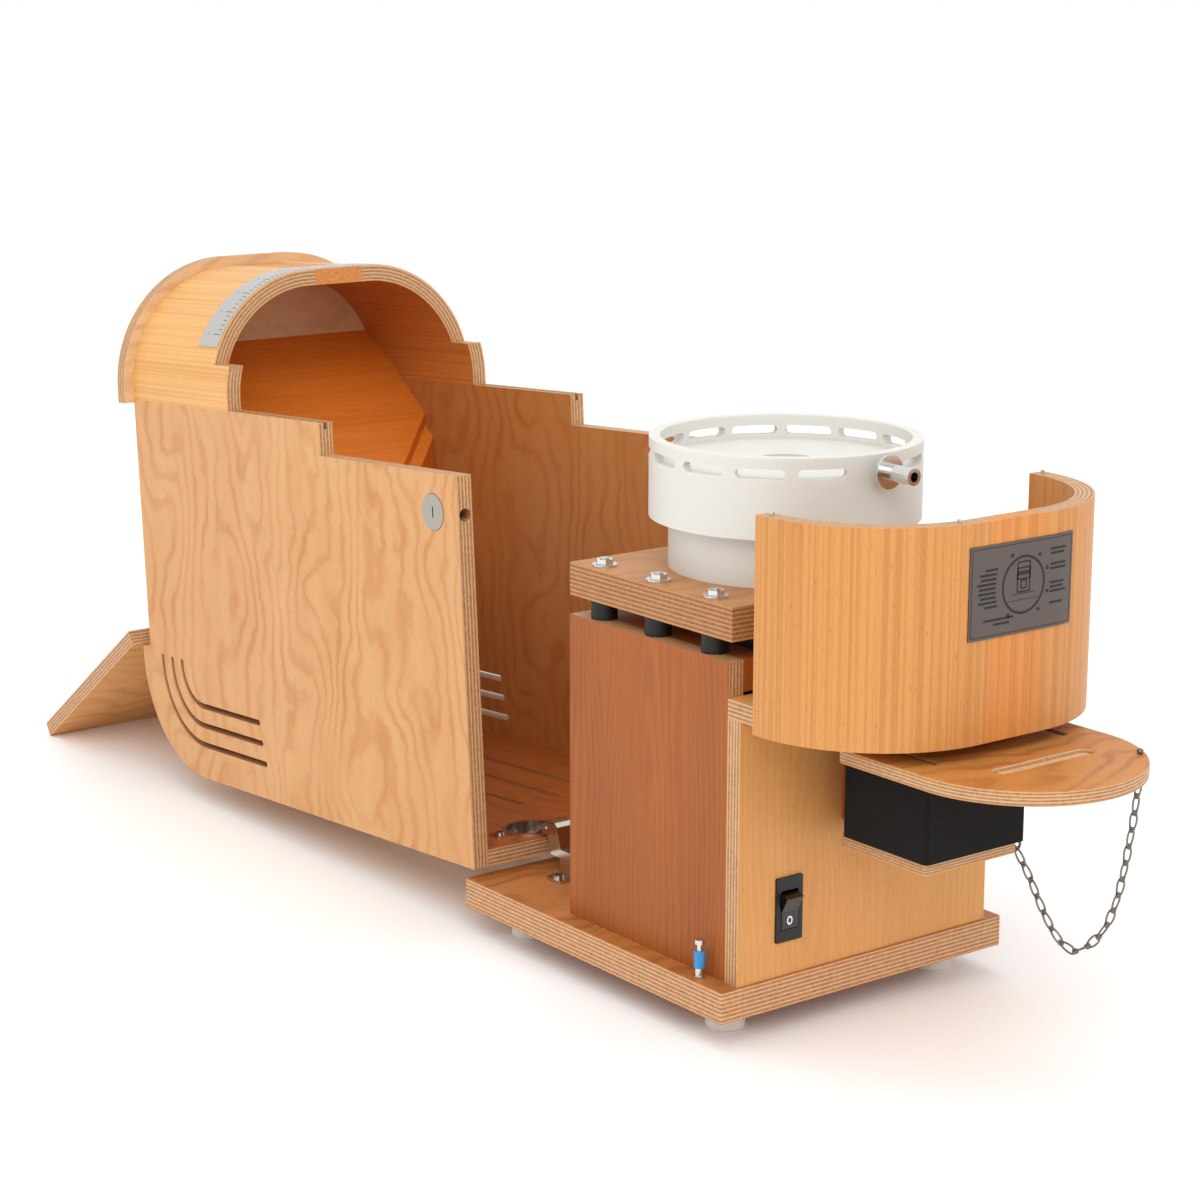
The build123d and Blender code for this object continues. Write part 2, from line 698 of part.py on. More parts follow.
with BuildPart() as slide_board:
    with BuildSketch(level(SLIDE_BOTTOM)):
        add(rect(-SLIDE_HALF, SLIDE_HALF, SLIDE_TIP + SLIDE_HALF, SLIDE_INNER))
        with Locations((0, SLIDE_TIP + SLIDE_HALF)):
            Circle(SLIDE_HALF)
        add(rect(-SLIDE_HALF, SLIDE_HALF, SLIDE_TIP, SLIDE_INNER), mode=Mode.INTERSECT)
    extrude(amount=SLIDE_TOP - SLIDE_BOTTOM)
    fillet(slide_board.faces().sort_by(Axis.Z)[-1].edges(), radius=1.2)
    fillet(slide_board.faces().sort_by(Axis.Z)[0].edges(), radius=1.2)
    with BuildSketch(front(SLIDE_INNER)):
        for sign in (-1, 1):
            add(rect(sign * 52.5 - 2.9, sign * 52.5 + 2.9, SLIDE_TOP - 4, SLIDE_TOP + 1))
            add(rect(sign * 52.5 - 5.4, sign * 52.5 + 5.4, SLIDE_TOP - 7.1, SLIDE_TOP - 3.7))
    extrude(amount=58.5, mode=Mode.SUBTRACT)
    with Locations((2, MILL_Y - 279.5, DECK + SLIDE_TOP + SCOOP_R - SCOOP_DEEP)):
        Cylinder(SCOOP_R, 67, rotation=(0, 90, 0), mode=Mode.SUBTRACT)
    for x in (-31.5, 35.5):
        with Locations((x, MILL_Y - 279.5, DECK + SLIDE_TOP + SCOOP_R - SCOOP_DEEP)):
            Sphere(SCOOP_R, mode=Mode.SUBTRACT)
    with BuildSketch(level(SLIDE_BOTTOM)):
        with Locations((EYE_X, EYE_Y)):
            Circle(1.5)
    extrude(amount=SLIDE_TOP - SLIDE_BOTTOM, mode=Mode.SUBTRACT)
slide_board.part.label = "slide_board"
export_step(slide_board.part, "parts/slide_board.step")

with BuildPart() as slide_eye:
    with BuildSketch(level(SLIDE_BOTTOM - 1.5)):
        with Locations((EYE_X, EYE_Y)):
            Circle(1.5)
    extrude(amount=SLIDE_TOP - SLIDE_BOTTOM + 3.0)
    with Locations((EYE_X, MILL_Y + EYE_Y, DECK + SLIDE_TOP + 1.5)):
        Sphere(2.0)
    with BuildSketch(level(SLIDE_TOP - 2)):
        with Locations((EYE_X, EYE_Y)):
            Circle(4.0)
            Circle(1.5, mode=Mode.SUBTRACT)
    extrude(amount=2.0, mode=Mode.SUBTRACT)
    with Locations((EYE_X, MILL_Y + EYE_Y, DECK + SLIDE_BOTTOM - 4.2)):
        Torus(3.2, 0.9, rotation=(90, 0, 0))
slide_eye.part.label = "slide_eye"
export_step(slide_eye.part, "parts/slide_eye.step")

EYE_RING = 3.2
EYE_WIRE = 0.9
SPOUT_EYE = (42.4, -221.0, 85.0)

with BuildPart() as spout_eye:
    with BuildSketch(side(SPOUT_EYE[0] - EYE_RING - 10)):
        with Locations(SPOUT_EYE[1:]):
            Circle(1.5)
    extrude(amount=10.0)
    with Locations((SPOUT_EYE[0], MILL_Y + SPOUT_EYE[1], DECK + SPOUT_EYE[2])):
        Torus(EYE_RING, EYE_WIRE, rotation=(90, 0, 0))
spout_eye.part.label = "spout_eye"
export_step(spout_eye.part, "parts/spout_eye.step")

# ---------------------------------------------------------------- chain between the two eyes
LINK_WIRE = 0.85
LINK_WIDE = 2.7
LINK_PITCH = 9.2
chain_points = [
    (EYE_X, EYE_Y, SLIDE_BOTTOM - 6.5),
    (55.5, -301.0, 114.5),
    (53.0, -295.0, 72.0),
    (51.0, -285.5, 46.0),
    (48.5, -270.0, 30.6),
    (47.0, -257.5, 31.5),
    (45.5, -245.0, 44.5),
    (44.0, -230.5, 68.0),
    (42.4, -220.5, 82.7),
]
with BuildLine() as chain_curve:
    Spline(*[(x, MILL_Y + y, DECK + h) for x, y, h in chain_points])
chain_path = chain_curve.wires()[0]
LINK_COUNT = 2 * int(chain_path.length / LINK_PITCH / 2) + 1
LINK_HALF = (chain_path.length / LINK_COUNT + 2 * LINK_WIRE + 0.4) / 2


def chain_link():
    with BuildPart() as link:
        with BuildLine() as loop:
            straight = LINK_HALF - LINK_WIDE
            Line((-straight, LINK_WIDE), (straight, LINK_WIDE))
            ThreePointArc((straight, LINK_WIDE), (LINK_HALF, 0), (straight, -LINK_WIDE))
            Line((straight, -LINK_WIDE), (-straight, -LINK_WIDE))
            ThreePointArc((-straight, -LINK_WIDE), (-LINK_HALF, 0), (-straight, LINK_WIDE))
        with BuildSketch(Plane(origin=(0, LINK_WIDE, 0), z_dir=(1, 0, 0))):
            Circle(LINK_WIRE)
        sweep(path=loop.wires()[0])
    return link.part


def chain_places():
    places = []
    for i in range(LINK_COUNT):
        t = (i + 0.5) / LINK_COUNT
        along = chain_path.tangent_at(t)
        across = Vector(1, 0, 0) - along * along.X
        spin = Plane(origin=chain_path.position_at(t), x_dir=along, z_dir=across)
        places.append(spin.location * Rot(90 * (i % 2), 0, 0))
    return places


with BuildPart() as chain:
    with Locations(*chain_places()):
        add(chain_link())
chain.part.label = "chain"
export_step(chain.part, "parts/chain.step")

# ---------------------------------------------------------------- rocker switch
SWITCH_X = -64.5
ROCKER_H = 42.3
ROCKER_Y = -132.5
ROCKER_TILT = 14.0

with BuildPart() as switch_housing:
    with BuildSketch(front(CABINET_FRONT)):
        with Locations((SWITCH_X, 42.7)):
            RectangleRounded(21, 41.4, 1.0)
    extrude(amount=1.6)
    with BuildSketch(front(CABINET_FRONT)):
        with Locations((SWITCH_X, 42.7)):
            Rectangle(17.8, 34.6)
    extrude(amount=-26.0)
    with BuildSketch(front(CABINET_FRONT - 1.6)):
        with Locations((SWITCH_X, ROCKER_H)):
            Rectangle(13.8, 25.4)
    extrude(amount=-22.0, mode=Mode.SUBTRACT)
    with BuildSketch(side(SWITCH_X - 8.3)):
        with Locations((ROCKER_Y, ROCKER_H)):
            Circle(1.55)
    extrude(amount=16.6, mode=Mode.SUBTRACT)
switch_housing.part.label = "switch_housing"
export_step(switch_housing.part, "parts/switch_housing.step")

with BuildPart() as rocker:
    tilt = Location((0, MILL_Y + ROCKER_Y, DECK + ROCKER_H), (ROCKER_TILT, 0, 0))
    with BuildSketch(Plane(tilt * Location(Plane.YZ.offset(SWITCH_X - 6.5)))):
        add(
            outline(
                (-6.7, 10.8),
                (-4.0, 0),
                (-6.7, -10.8),
                (-1.0, -12.0),
                (4.0, -8.0),
                (6.0, 0),
                (4.0, 8.0),
                (-1.0, 12.0),
            )
        )
    extrude(amount=13.0)
    with BuildSketch(side(SWITCH_X - 8.0)):
        with Locations((ROCKER_Y, ROCKER_H)):
            Circle(1.5)
    extrude(amount=16.0)
rocker.part.label = "rocker"
export_step(rocker.part, "parts/rocker.step")

# ---------------------------------------------------------------- cam dowels on the base
DOWELS = ((-DOWEL_X, CAM_Y), (DOWEL_X, CAM_Y))

with BuildPart() as dowel_pins:
    for bottom, top, radius in (
        (-10, 0, 2.5),
        (0, 1.5, 3.6),
        (1.5, 6.5, 2.8),
        (6.5, 21.8, 1.6),
        (21.8, 24.6, 3.0),
    ):
        with BuildSketch(level(bottom)):
            with Locations(*DOWELS):
                Circle(radius)
        extrude(amount=top - bottom)
dowel_pins.part.label = "dowel_pins"
export_step(dowel_pins.part, "parts/dowel_pins.step")

with BuildPart() as dowel_sleeves:
    with BuildSketch(level(6.5)):
        with Locations(*DOWELS):
            Circle(3.5)
            Circle(1.62, mode=Mode.SUBTRACT)
        for x, y in DOWELS:
            with Locations((x, y)):
                with PolarLocations(3.6, 8):
                    Circle(0.45, mode=Mode.SUBTRACT)
    extrude(amount=10.5)
dowel_sleeves.part.label = "dowel_sleeves"
export_step(dowel_sleeves.part, "parts/dowel_sleeves.step")

# ---------------------------------------------------------------- concealed hinges
HINGES = (-HINGE_X, HINGE_X)

with BuildPart() as hinge_plates:
    with BuildSketch(level(0)):
        for x in HINGES:
            with Locations((x, 94)):
                RectangleRounded(48, 16, 3.0)
            with Locations((x, 92)):
                Rectangle(15, 36)
    extrude(amount=2.0)
    with BuildSketch(level(2)):
        for x in HINGES:
            with Locations((x, 92)):
                Rectangle(12, 36)
    extrude(amount=8.0)
    with BuildSketch(level(2)):
        for x in HINGES:
            with Locations((x - 18, 95), (x + 18, 95)):
                Circle(4.0)
                Rectangle(5, 0.9, mode=Mode.SUBTRACT)
                Rectangle(0.9, 5, mode=Mode.SUBTRACT)
    extrude(amount=1.8)
hinge_plates.part.label = "hinge_plates"
export_step(hinge_plates.part, "parts/hinge_plates.step")

with BuildPart() as hinge_arms:
    with BuildSketch(side(0)):
        add(
            outline(
                (74, 10.3),
                (74, 14.5),
                (76, 16.3),
                (106, 16.3),
                (110, 31.0),
                (113, 33.4),
                (121, 33.4),
                (130, 28.5),
                (130, 26.0),
                (126, 23.0),
                (120, 22.0),
                (117.5, 10.3),
            )
        )
    extrude(amount=HINGE_X + 8, both=True)
    with BuildSketch(side(0)):
        add(rect(60, 140, 0, 40))
    extrude(amount=HINGE_X - 8, both=True, mode=Mode.SUBTRACT)
    with BuildSketch(front(140)):
        for x in HINGES:
            add(rect(x - 5.8, x + 5.8, 5, 30.4))
    extrude(amount=22.5, mode=Mode.SUBTRACT)
    for x in HINGES:
        with BuildSketch(side(x - 8.6)):
            with Locations((PIN_Y, PIN_H)):
                Circle(1.6)
        extrude(amount=17.2)
hinge_arms.part.label = "hinge_arms"
export_step(hinge_arms.part, "parts/hinge_arms.step")

link_rad = math.radians(LINK_ANGLE)
link_end = (PIN_Y + LINK_LENGTH * math.cos(link_rad), PIN_H + LINK_LENGTH * math.sin(link_rad))
link_mid = ((PIN_Y + link_end[0]) / 2, (PIN_H + link_end[1]) / 2)

with BuildPart() as hinge_links:
    for x in HINGES:
        with BuildSketch(side(x - 4.8)):
            with Locations(link_mid):
                SlotCenterToCenter(LINK_LENGTH, 2.4, rotation=LINK_ANGLE)
            with Locations((PIN_Y, PIN_H)):
                Circle(2.8)
                Circle(1.65, mode=Mode.SUBTRACT)
        extrude(amount=9.6)
hinge_links.part.label = "hinge_links"
export_step(hinge_links.part, "parts/hinge_links.step")

# ---------------------------------------------------------------- tipped housing, panels
HOUSE_INNER = HOUSE_HALF - PLY


def housing_side(sign):
    low_x = HOUSE_INNER if sign > 0 else -HOUSE_HALF
    with BuildPart() as panel:
        with BuildSketch(tipped(side(low_x))):
            add(side_outline())
            add(vent_slots(), mode=Mode.SUBTRACT)
        extrude(amount=PLY)
        with BuildSketch(tipped(front(HOUSE_NOSE))):
            add(rect(sign * DOWEL_X - 1.25, sign * DOWEL_X + 1.25, HOUSE_STEP, LEG_BOTTOM))
        extrude(amount=-5.0, mode=Mode.SUBTRACT)
        with BuildSketch(tipped(level(HOUSE_FOOT))):
            with Locations((sign * DOWEL_X, CAM_Y)):
                Circle(4.5)
        extrude(amount=26.0, mode=Mode.SUBTRACT)
        with BuildSketch(tipped(side(sign * HOUSE_HALF))):
            with Locations((CAM_Y, CAM_H)):
                Circle(12.8)
        extrude(amount=-sign * 1.6, mode=Mode.SUBTRACT)
        with BuildSketch(tipped(side(sign * HOUSE_HALF))):
            with Locations((CAM_Y, CAM_H)):
                Circle(10.56)
        extrude(amount=-sign * 10.6, mode=Mode.SUBTRACT)
    return panel.part


with BuildPart() as housing_left_side:
    add(housing_side(-1))
housing_left_side.part.label = "housing_left_side"
export_step(housing_left_side.part, "parts/housing_left_side.step")

with BuildPart() as housing_right_side:
    add(housing_side(1))
housing_right_side.part.label = "housing_right_side"
export_step(housing_right_side.part, "parts/housing_right_side.step")

with BuildPart() as housing_back:
    with BuildSketch(tipped(front(HOUSE_REAR))):
        add(rect(-HOUSE_INNER, HOUSE_INNER, HOUSE_FOOT, CORNER_H))
        with Locations((-48, 202), (-16, 202), (16, 202), (48, 202)):
            SlotOverall(236, 4.0, rotation=90, mode=Mode.SUBTRACT)
    extrude(amount=PLY)
    with BuildSketch(tipped(front(HOUSE_REAR - PLY))):
        with Locations((-HINGE_X, CUP_H), (HINGE_X, CUP_H)):
            Circle(17.55)
        for x in HINGES:
            add(rect(x - 6, x + 6, 4.0, 12.0))
    extrude(amount=-10.8, mode=Mode.SUBTRACT)
housing_back.part.label = "housing_back"
export_step(housing_back.part, "parts/housing_back.step")

corner_mid = math.sqrt(0.5)

with BuildPart() as housing_corner:
    with BuildSketch(tipped(side(-HOUSE_INNER))):
        with BuildLine():
            Line((LID_REAR + 2.5, HOUSE_TOP), (CORNER_Y, HOUSE_TOP))
            ThreePointArc(
                (CORNER_Y, HOUSE_TOP),
                (CORNER_Y + CORNER_R * corner_mid, CORNER_H + CORNER_R * corner_mid),
                (HOUSE_REAR, CORNER_H),
            )
            Line((HOUSE_REAR, CORNER_H), (HOUSE_REAR - PLY, CORNER_H))
            ThreePointArc(
                (HOUSE_REAR - PLY, CORNER_H),
                (
                    CORNER_Y + (CORNER_R - PLY) * corner_mid,
                    CORNER_H + (CORNER_R - PLY) * corner_mid,
                ),
                (CORNER_Y, HOUSE_SEAT),
            )
            Line((CORNER_Y, HOUSE_SEAT), (LID_REAR + 2.5, HOUSE_SEAT))
            Line((LID_REAR + 2.5, HOUSE_SEAT), (LID_REAR + 2.5, HOUSE_TOP))
        make_face()
    extrude(amount=2 * HOUSE_INNER)
housing_corner.part.label = "housing_corner"
export_step(housing_corner.part, "parts/housing_corner.step")

# ---------------------------------------------------------------- arch and top plate


def arch_piece(x0, x1):
    with BuildPart() as ply:
        with BuildSketch(tipped(level(LEG_BOTTOM))):
            add(d_band(0, PLY, HOUSE_NOSE))
            add(rect(x0, x1, MANTLE_FRONT - 1, HOUSE_NOSE + 1), mode=Mode.INTERSECT)
        extrude(amount=HOUSE_SEAT - LEG_BOTTOM)
        with BuildSketch(tipped(level(LEG_BOTTOM))):
            add(rect(-HOUSE_HALF - 2, HOUSE_HALF + 2, MANTLE_FRONT - 2, LEG_FRONT))
        extrude(amount=ARCH_RIM - LEG_BOTTOM, mode=Mode.SUBTRACT)
    return ply.part


with BuildPart() as arch_bends:
    add(arch_piece(-HOUSE_HALF - 1, -KEY_HALF))
    add(arch_piece(KEY_HALF, HOUSE_HALF + 1))
arch_bends.part.label = "arch_bends"
export_step(arch_bends.part, "parts/arch_bends.step")

with BuildPart() as arch_center_block:
    add(arch_piece(-KEY_HALF, KEY_HALF))
arch_center_block.part.label = "arch_center_block"
export_step(arch_center_block.part, "parts/arch_center_block.step")

with BuildPart() as scale_strip:
    with BuildSketch(tipped(level(ARCH_RIM + 1))):
        add(d_band(0.8, 0, HOUSE_NOSE))
        add(rect(-HOUSE_HALF - 2, HOUSE_HALF + 2, MANTLE_FRONT - 2, -202.5), mode=Mode.INTERSECT)
    extrude(amount=28.0)
scale_strip.part.label = "scale_strip"
export_step(scale_strip.part, "parts/scale_strip.step")

with BuildPart() as top_plate:
    with BuildSketch(tipped(level(HOUSE_SEAT))):
        add(
            d_outline(
                MANTLE_HALF + TOP_LIP, MANTLE_FRONT - TOP_LIP, MANTLE_R + TOP_LIP, TOP_REAR
            )
        )
    extrude(amount=PLY)
top_plate.part.label = "top_plate"
export_step(top_plate.part, "parts/top_plate.step")

# ---------------------------------------------------------------- hopper boards
HOPPER_T = 8.0
KNEE_H = 372.0
KNEE_Y = -120.0
MOUTH_H = 324.0
MOUTH_Y = -78.0
MOUTH_HALF = 46.0
HOPPER_HALF = HOUSE_INNER - GAP
BACK_TOP_Y = 40.0
BACK_FOOT_Y = 8.0
BACK_TOP_H = 446.5
funnel = outline(
    (-MOUTH_HALF, MOUTH_H),
    (MOUTH_HALF, MOUTH_H),
    (HOPPER_HALF, KNEE_H),
    (HOPPER_HALF, HOUSE_SEAT),
    (-HOPPER_HALF, HOUSE_SEAT),
    (-HOPPER_HALF, KNEE_H),
)
front_run = MOUTH_Y - KNEE_Y
front_fall = KNEE_H - MOUTH_H
front_len = math.hypot(front_run, front_fall)
front_in = (-front_fall / front_len * HOPPER_T, -front_run / front_len * HOPPER_T)
front_top_y = KNEE_Y - (HOUSE_SEAT - KNEE_H) * front_run / front_fall

with BuildPart() as hopper_front:
    with BuildSketch(tipped(side(0))):
        add(
            outline(
                (MOUTH_Y, MOUTH_H),
                (front_top_y, HOUSE_SEAT),
                (front_top_y + front_in[0] * front_len / front_fall, HOUSE_SEAT),
                (MOUTH_Y + front_in[0], MOUTH_H + front_in[1]),
            )
        )
    extrude(amount=HOPPER_HALF, both=True)
    with BuildSketch(tipped(level(HOUSE_SEAT))):
        add(
            d_outline(
                HOPPER_HALF, MANTLE_FRONT + PLY + GAP, MANTLE_R - PLY - GAP, MOUTH_Y + 10
            )
        )
    extrude(amount=-140, mode=Mode.INTERSECT)
    with BuildSketch(tipped(front(MOUTH_Y + 10))):
        add(funnel)
        add(rect(-MOUTH_HALF, MOUTH_HALF, MOUTH_H - 12, MOUTH_H))
    extrude(amount=180, mode=Mode.INTERSECT)

back_run = BACK_TOP_Y - BACK_FOOT_Y
back_rise = BACK_TOP_H - MOUTH_H
back_len = math.hypot(back_run, back_rise)
back_wide = HOPPER_T * back_len / back_rise
with BuildPart() as hopper_back:
    with BuildSketch(tipped(side(0))):
        add(
            outline(
                (BACK_FOOT_Y, MOUTH_H),
                (BACK_FOOT_Y + back_wide, MOUTH_H),
                (BACK_TOP_Y + back_wide, BACK_TOP_H),
                (BACK_TOP_Y, BACK_TOP_H),
            )
        )
    extrude(amount=HOPPER_HALF, both=True)
    with BuildSketch(tipped(front(60))):
        add(funnel)
    extrude(amount=80, mode=Mode.INTERSECT)

with BuildPart() as hopper_end_boards:
    add(hopper_front.part)
    add(hopper_back.part)
hopper_end_boards.part.label = "hopper_end_boards"
export_step(hopper_end_boards.part, "parts/hopper_end_boards.step")

side_run = HOPPER_HALF - MOUTH_HALF
side_fall = KNEE_H - MOUTH_H
side_len = math.hypot(side_run, side_fall)
side_drop = HOPPER_T * side_len / side_run


def hopper_cheek(sign):
    with BuildPart() as board:
        with BuildSketch(tipped(front(60))):
            add(
                outline(
                    (sign * MOUTH_HALF, MOUTH_H),
                    (sign * HOPPER_HALF, KNEE_H),
                    (sign * HOPPER_HALF, KNEE_H - side_drop),
                    (sign * (MOUTH_HALF + 3), MOUTH_H + 3 * side_fall / side_run - side_drop),
                )
            )
        extrude(amount=260)
        with BuildSketch(tipped(side(0))):
            add(
                outline(
                    (MOUTH_Y + front_run, MOUTH_H - front_fall),
                    (KNEE_Y, KNEE_H),
                    (BACK_FOOT_Y + back_run * front_fall / back_rise, KNEE_H),
                    (BACK_FOOT_Y - back_run * front_fall / back_rise, MOUTH_H - front_fall),
                )
            )
        extrude(amount=HOUSE_HALF, both=True, mode=Mode.INTERSECT)
    return board.part


with BuildPart() as hopper_cheeks:
    add(hopper_cheek(-1))
    add(hopper_cheek(1))
hopper_cheeks.part.label = "hopper_cheeks"
export_step(hopper_cheeks.part, "parts/hopper_cheeks.step")

# ---------------------------------------------------------------- hinge cups and cam locks
with BuildPart() as hinge_cups:
    with BuildSketch(tipped(front(HOUSE_REAR - PLY))):
        for x in HINGES:
            with Locations((x, CUP_H)):
                RectangleRounded(64, 13, 3.0)
                Circle(19.5)
    extrude(amount=1.2)
    with BuildSketch(tipped(front(HOUSE_REAR - PLY))):
        with Locations((-HINGE_X, CUP_H), (HINGE_X, CUP_H)):
            Circle(17.4)
    extrude(amount=-10.5)
    with BuildSketch(tipped(front(HOUSE_REAR - PLY - 1.2))):
        with Locations((-HINGE_X, CUP_H), (HINGE_X, CUP_H)):
            Circle(16.7)
    extrude(amount=-11.0, mode=Mode.SUBTRACT)
    with BuildSketch(tipped(front(HOUSE_REAR - PLY - 1.2))):
        for x in HINGES:
            add(rect(x - 5.4, x + 5.4, 4.2, 12.0))
    extrude(amount=-11.0, mode=Mode.SUBTRACT)
    with BuildSketch(tipped(front(HOUSE_REAR - PLY - 1.2))):
        for x in HINGES:
            with Locations((x - 26, CUP_H), (x + 26, CUP_H)):
                Circle(3.6)
                Rectangle(4.6, 0.9, mode=Mode.SUBTRACT)
                Rectangle(0.9, 4.6, mode=Mode.SUBTRACT)
    extrude(amount=1.4)
hinge_cups.part.label = "hinge_cups"
export_step(hinge_cups.part, "parts/hinge_cups.step")


def cam_lock(sign):
    with BuildPart() as cam:
        with BuildSketch(tipped(side(sign * (HOUSE_HALF + 0.3)))):
            with Locations((CAM_Y, CAM_H)):
                Circle(12.5)
        extrude(amount=-sign * 1.6)
        with BuildSketch(tipped(side(sign * (HOUSE_HALF - 1.3)))):
            with Locations((CAM_Y, CAM_H)):
                Circle(10.5)
        extrude(amount=-sign * 9.0)
        with BuildSketch(tipped(side(sign * (HOUSE_HALF - 2.0)))):
            with Locations((CAM_Y, CAM_H)):
                Circle(9.0)
        extrude(amount=-sign * 9.0, mode=Mode.SUBTRACT)
        with BuildSketch(tipped(side(sign * DOWEL_X))):
            add(rect(CAM_Y - 3.0, CAM_Y + 13, CAM_H - 13, CAM_H + 13))
        extrude(amount=2.2, both=True, mode=Mode.SUBTRACT)
        with BuildSketch(tipped(side(sign * (HOUSE_HALF - 2.0)))):
            add(rect(CAM_Y - 4.2, CAM_Y + 4.2, CAM_H - 13, CAM_H - 4))
        extrude(amount=-sign * 9.0, mode=Mode.SUBTRACT)
        with BuildSketch(tipped(side(sign * (HOUSE_HALF + 0.3)))):
            with Locations((CAM_Y, CAM_H)):
                Rectangle(7.5, 1.4)
        extrude(amount=-sign * 1.2, mode=Mode.SUBTRACT)
    return cam.part


with BuildPart() as left_cam_lock:
    add(cam_lock(-1))
left_cam_lock.part.label = "left_cam_lock"
export_step(left_cam_lock.part, "parts/left_cam_lock.step")

with BuildPart() as right_cam_lock:
    add(cam_lock(1))
right_cam_lock.part.label = "right_cam_lock"
export_step(right_cam_lock.part, "parts/right_cam_lock.step")

# ---------------------------------------------------------------- lid and its strip hinge
with BuildPart() as lid_board:
    with BuildSketch(dropped(level(HOUSE_SEAT))):
        add(rect(-LID_HALF, LID_HALF, LID_FRONT, LID_REAR))
    extrude(amount=PLY)
lid_board.part.label = "lid_board"
export_step(lid_board.part, "parts/lid_board.step")

KNUCKLES = 10
KNUCKLE_LEN = 20.0
strip_start = -KNUCKLES * KNUCKLE_LEN / 2

with BuildPart() as lid_hinge_fixed_leaf:
    with BuildSketch(tipped(side(strip_start))):
        add(rect(LID_REAR + 1.7, LID_REAR + 2.5, HOUSE_SEAT + 1, HOUSE_TOP - 0.6))
    extrude(amount=KNUCKLES * KNUCKLE_LEN)
    for i in range(0, KNUCKLES, 2):
        with BuildSketch(tipped(side(strip_start + i * KNUCKLE_LEN))):
            with Locations((LID_AXIS_Y, LID_AXIS_H)):
                Circle(1.4)
            add(rect(LID_REAR + 1.7, LID_REAR + 2.5, HOUSE_TOP - 0.7, LID_AXIS_H))
        extrude(amount=KNUCKLE_LEN - 0.4)
    with BuildSketch(tipped(side(strip_start))):
        with Locations((LID_AXIS_Y, LID_AXIS_H)):
            Circle(0.6)
    extrude(amount=KNUCKLES * KNUCKLE_LEN)
lid_hinge_fixed_leaf.part.label = "lid_hinge_fixed_leaf"
export_step(lid_hinge_fixed_leaf.part, "parts/lid_hinge_fixed_leaf.step")

with BuildPart() as lid_hinge_moving_leaf:
    with BuildSketch(dropped(side(strip_start))):
        add(rect(LID_REAR, LID_REAR + 0.8, HOUSE_SEAT + 1, HOUSE_TOP - 0.6))
    extrude(amount=KNUCKLES * KNUCKLE_LEN)
    for i in range(1, KNUCKLES, 2):
        with BuildSketch(dropped(side(strip_start + i * KNUCKLE_LEN))):
            with Locations((LID_AXIS_Y, LID_AXIS_H)):
                Circle(1.4)
            add(rect(LID_REAR, LID_REAR + 0.8, HOUSE_TOP - 0.7, LID_AXIS_H))
            with Locations((LID_AXIS_Y, LID_AXIS_H)):
                Circle(0.68, mode=Mode.SUBTRACT)
        extrude(amount=KNUCKLE_LEN - 0.4)
lid_hinge_moving_leaf.part.label = "lid_hinge_moving_leaf"
export_step(lid_hinge_moving_leaf.part, "parts/lid_hinge_moving_leaf.step")
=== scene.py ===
"""Looks of an electric stone grain mill in beech plywood, housing tipped back.

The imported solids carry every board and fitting. This script gives them their
timber, plastic and metal, adds the printed plate, the scale, the rocker's mark
and the knotted chain, and sets the studio and the camera.
"""

from __future__ import annotations

import json
import logging
import math
from dataclasses import dataclass
from enum import Enum
from typing import Any, Iterable, Sequence

import bpy
import numpy as np
from mathutils import Euler, Matrix, Vector

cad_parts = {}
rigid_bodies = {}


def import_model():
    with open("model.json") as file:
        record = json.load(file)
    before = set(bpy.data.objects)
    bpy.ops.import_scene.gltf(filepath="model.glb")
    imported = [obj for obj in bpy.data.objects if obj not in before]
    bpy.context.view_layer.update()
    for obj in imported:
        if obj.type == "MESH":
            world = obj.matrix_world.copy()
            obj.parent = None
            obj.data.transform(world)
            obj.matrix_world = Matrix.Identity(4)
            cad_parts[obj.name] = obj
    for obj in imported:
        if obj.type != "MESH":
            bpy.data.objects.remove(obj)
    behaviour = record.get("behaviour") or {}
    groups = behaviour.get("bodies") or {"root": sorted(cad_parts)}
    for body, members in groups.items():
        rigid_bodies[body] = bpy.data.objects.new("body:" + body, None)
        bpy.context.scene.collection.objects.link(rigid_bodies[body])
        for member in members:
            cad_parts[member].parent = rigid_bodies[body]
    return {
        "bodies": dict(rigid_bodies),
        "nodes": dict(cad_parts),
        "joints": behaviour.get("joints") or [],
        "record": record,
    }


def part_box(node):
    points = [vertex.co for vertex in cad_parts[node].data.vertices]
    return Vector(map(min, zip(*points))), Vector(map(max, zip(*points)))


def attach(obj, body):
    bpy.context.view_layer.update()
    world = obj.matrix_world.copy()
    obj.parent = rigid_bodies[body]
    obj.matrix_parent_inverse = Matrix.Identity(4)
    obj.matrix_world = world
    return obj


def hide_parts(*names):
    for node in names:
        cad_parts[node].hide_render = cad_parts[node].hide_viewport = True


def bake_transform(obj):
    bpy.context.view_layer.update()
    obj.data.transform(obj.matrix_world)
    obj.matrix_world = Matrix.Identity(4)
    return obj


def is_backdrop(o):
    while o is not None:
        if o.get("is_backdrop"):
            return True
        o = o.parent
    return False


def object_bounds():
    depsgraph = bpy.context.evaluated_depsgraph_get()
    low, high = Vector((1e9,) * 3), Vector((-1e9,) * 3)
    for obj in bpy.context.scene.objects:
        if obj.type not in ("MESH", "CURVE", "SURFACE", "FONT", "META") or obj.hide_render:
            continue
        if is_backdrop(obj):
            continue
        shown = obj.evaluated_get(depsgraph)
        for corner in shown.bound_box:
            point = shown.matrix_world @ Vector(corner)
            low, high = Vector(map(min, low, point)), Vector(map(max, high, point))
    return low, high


LOG = logging.getLogger("grain_mill")
MM = 0.001


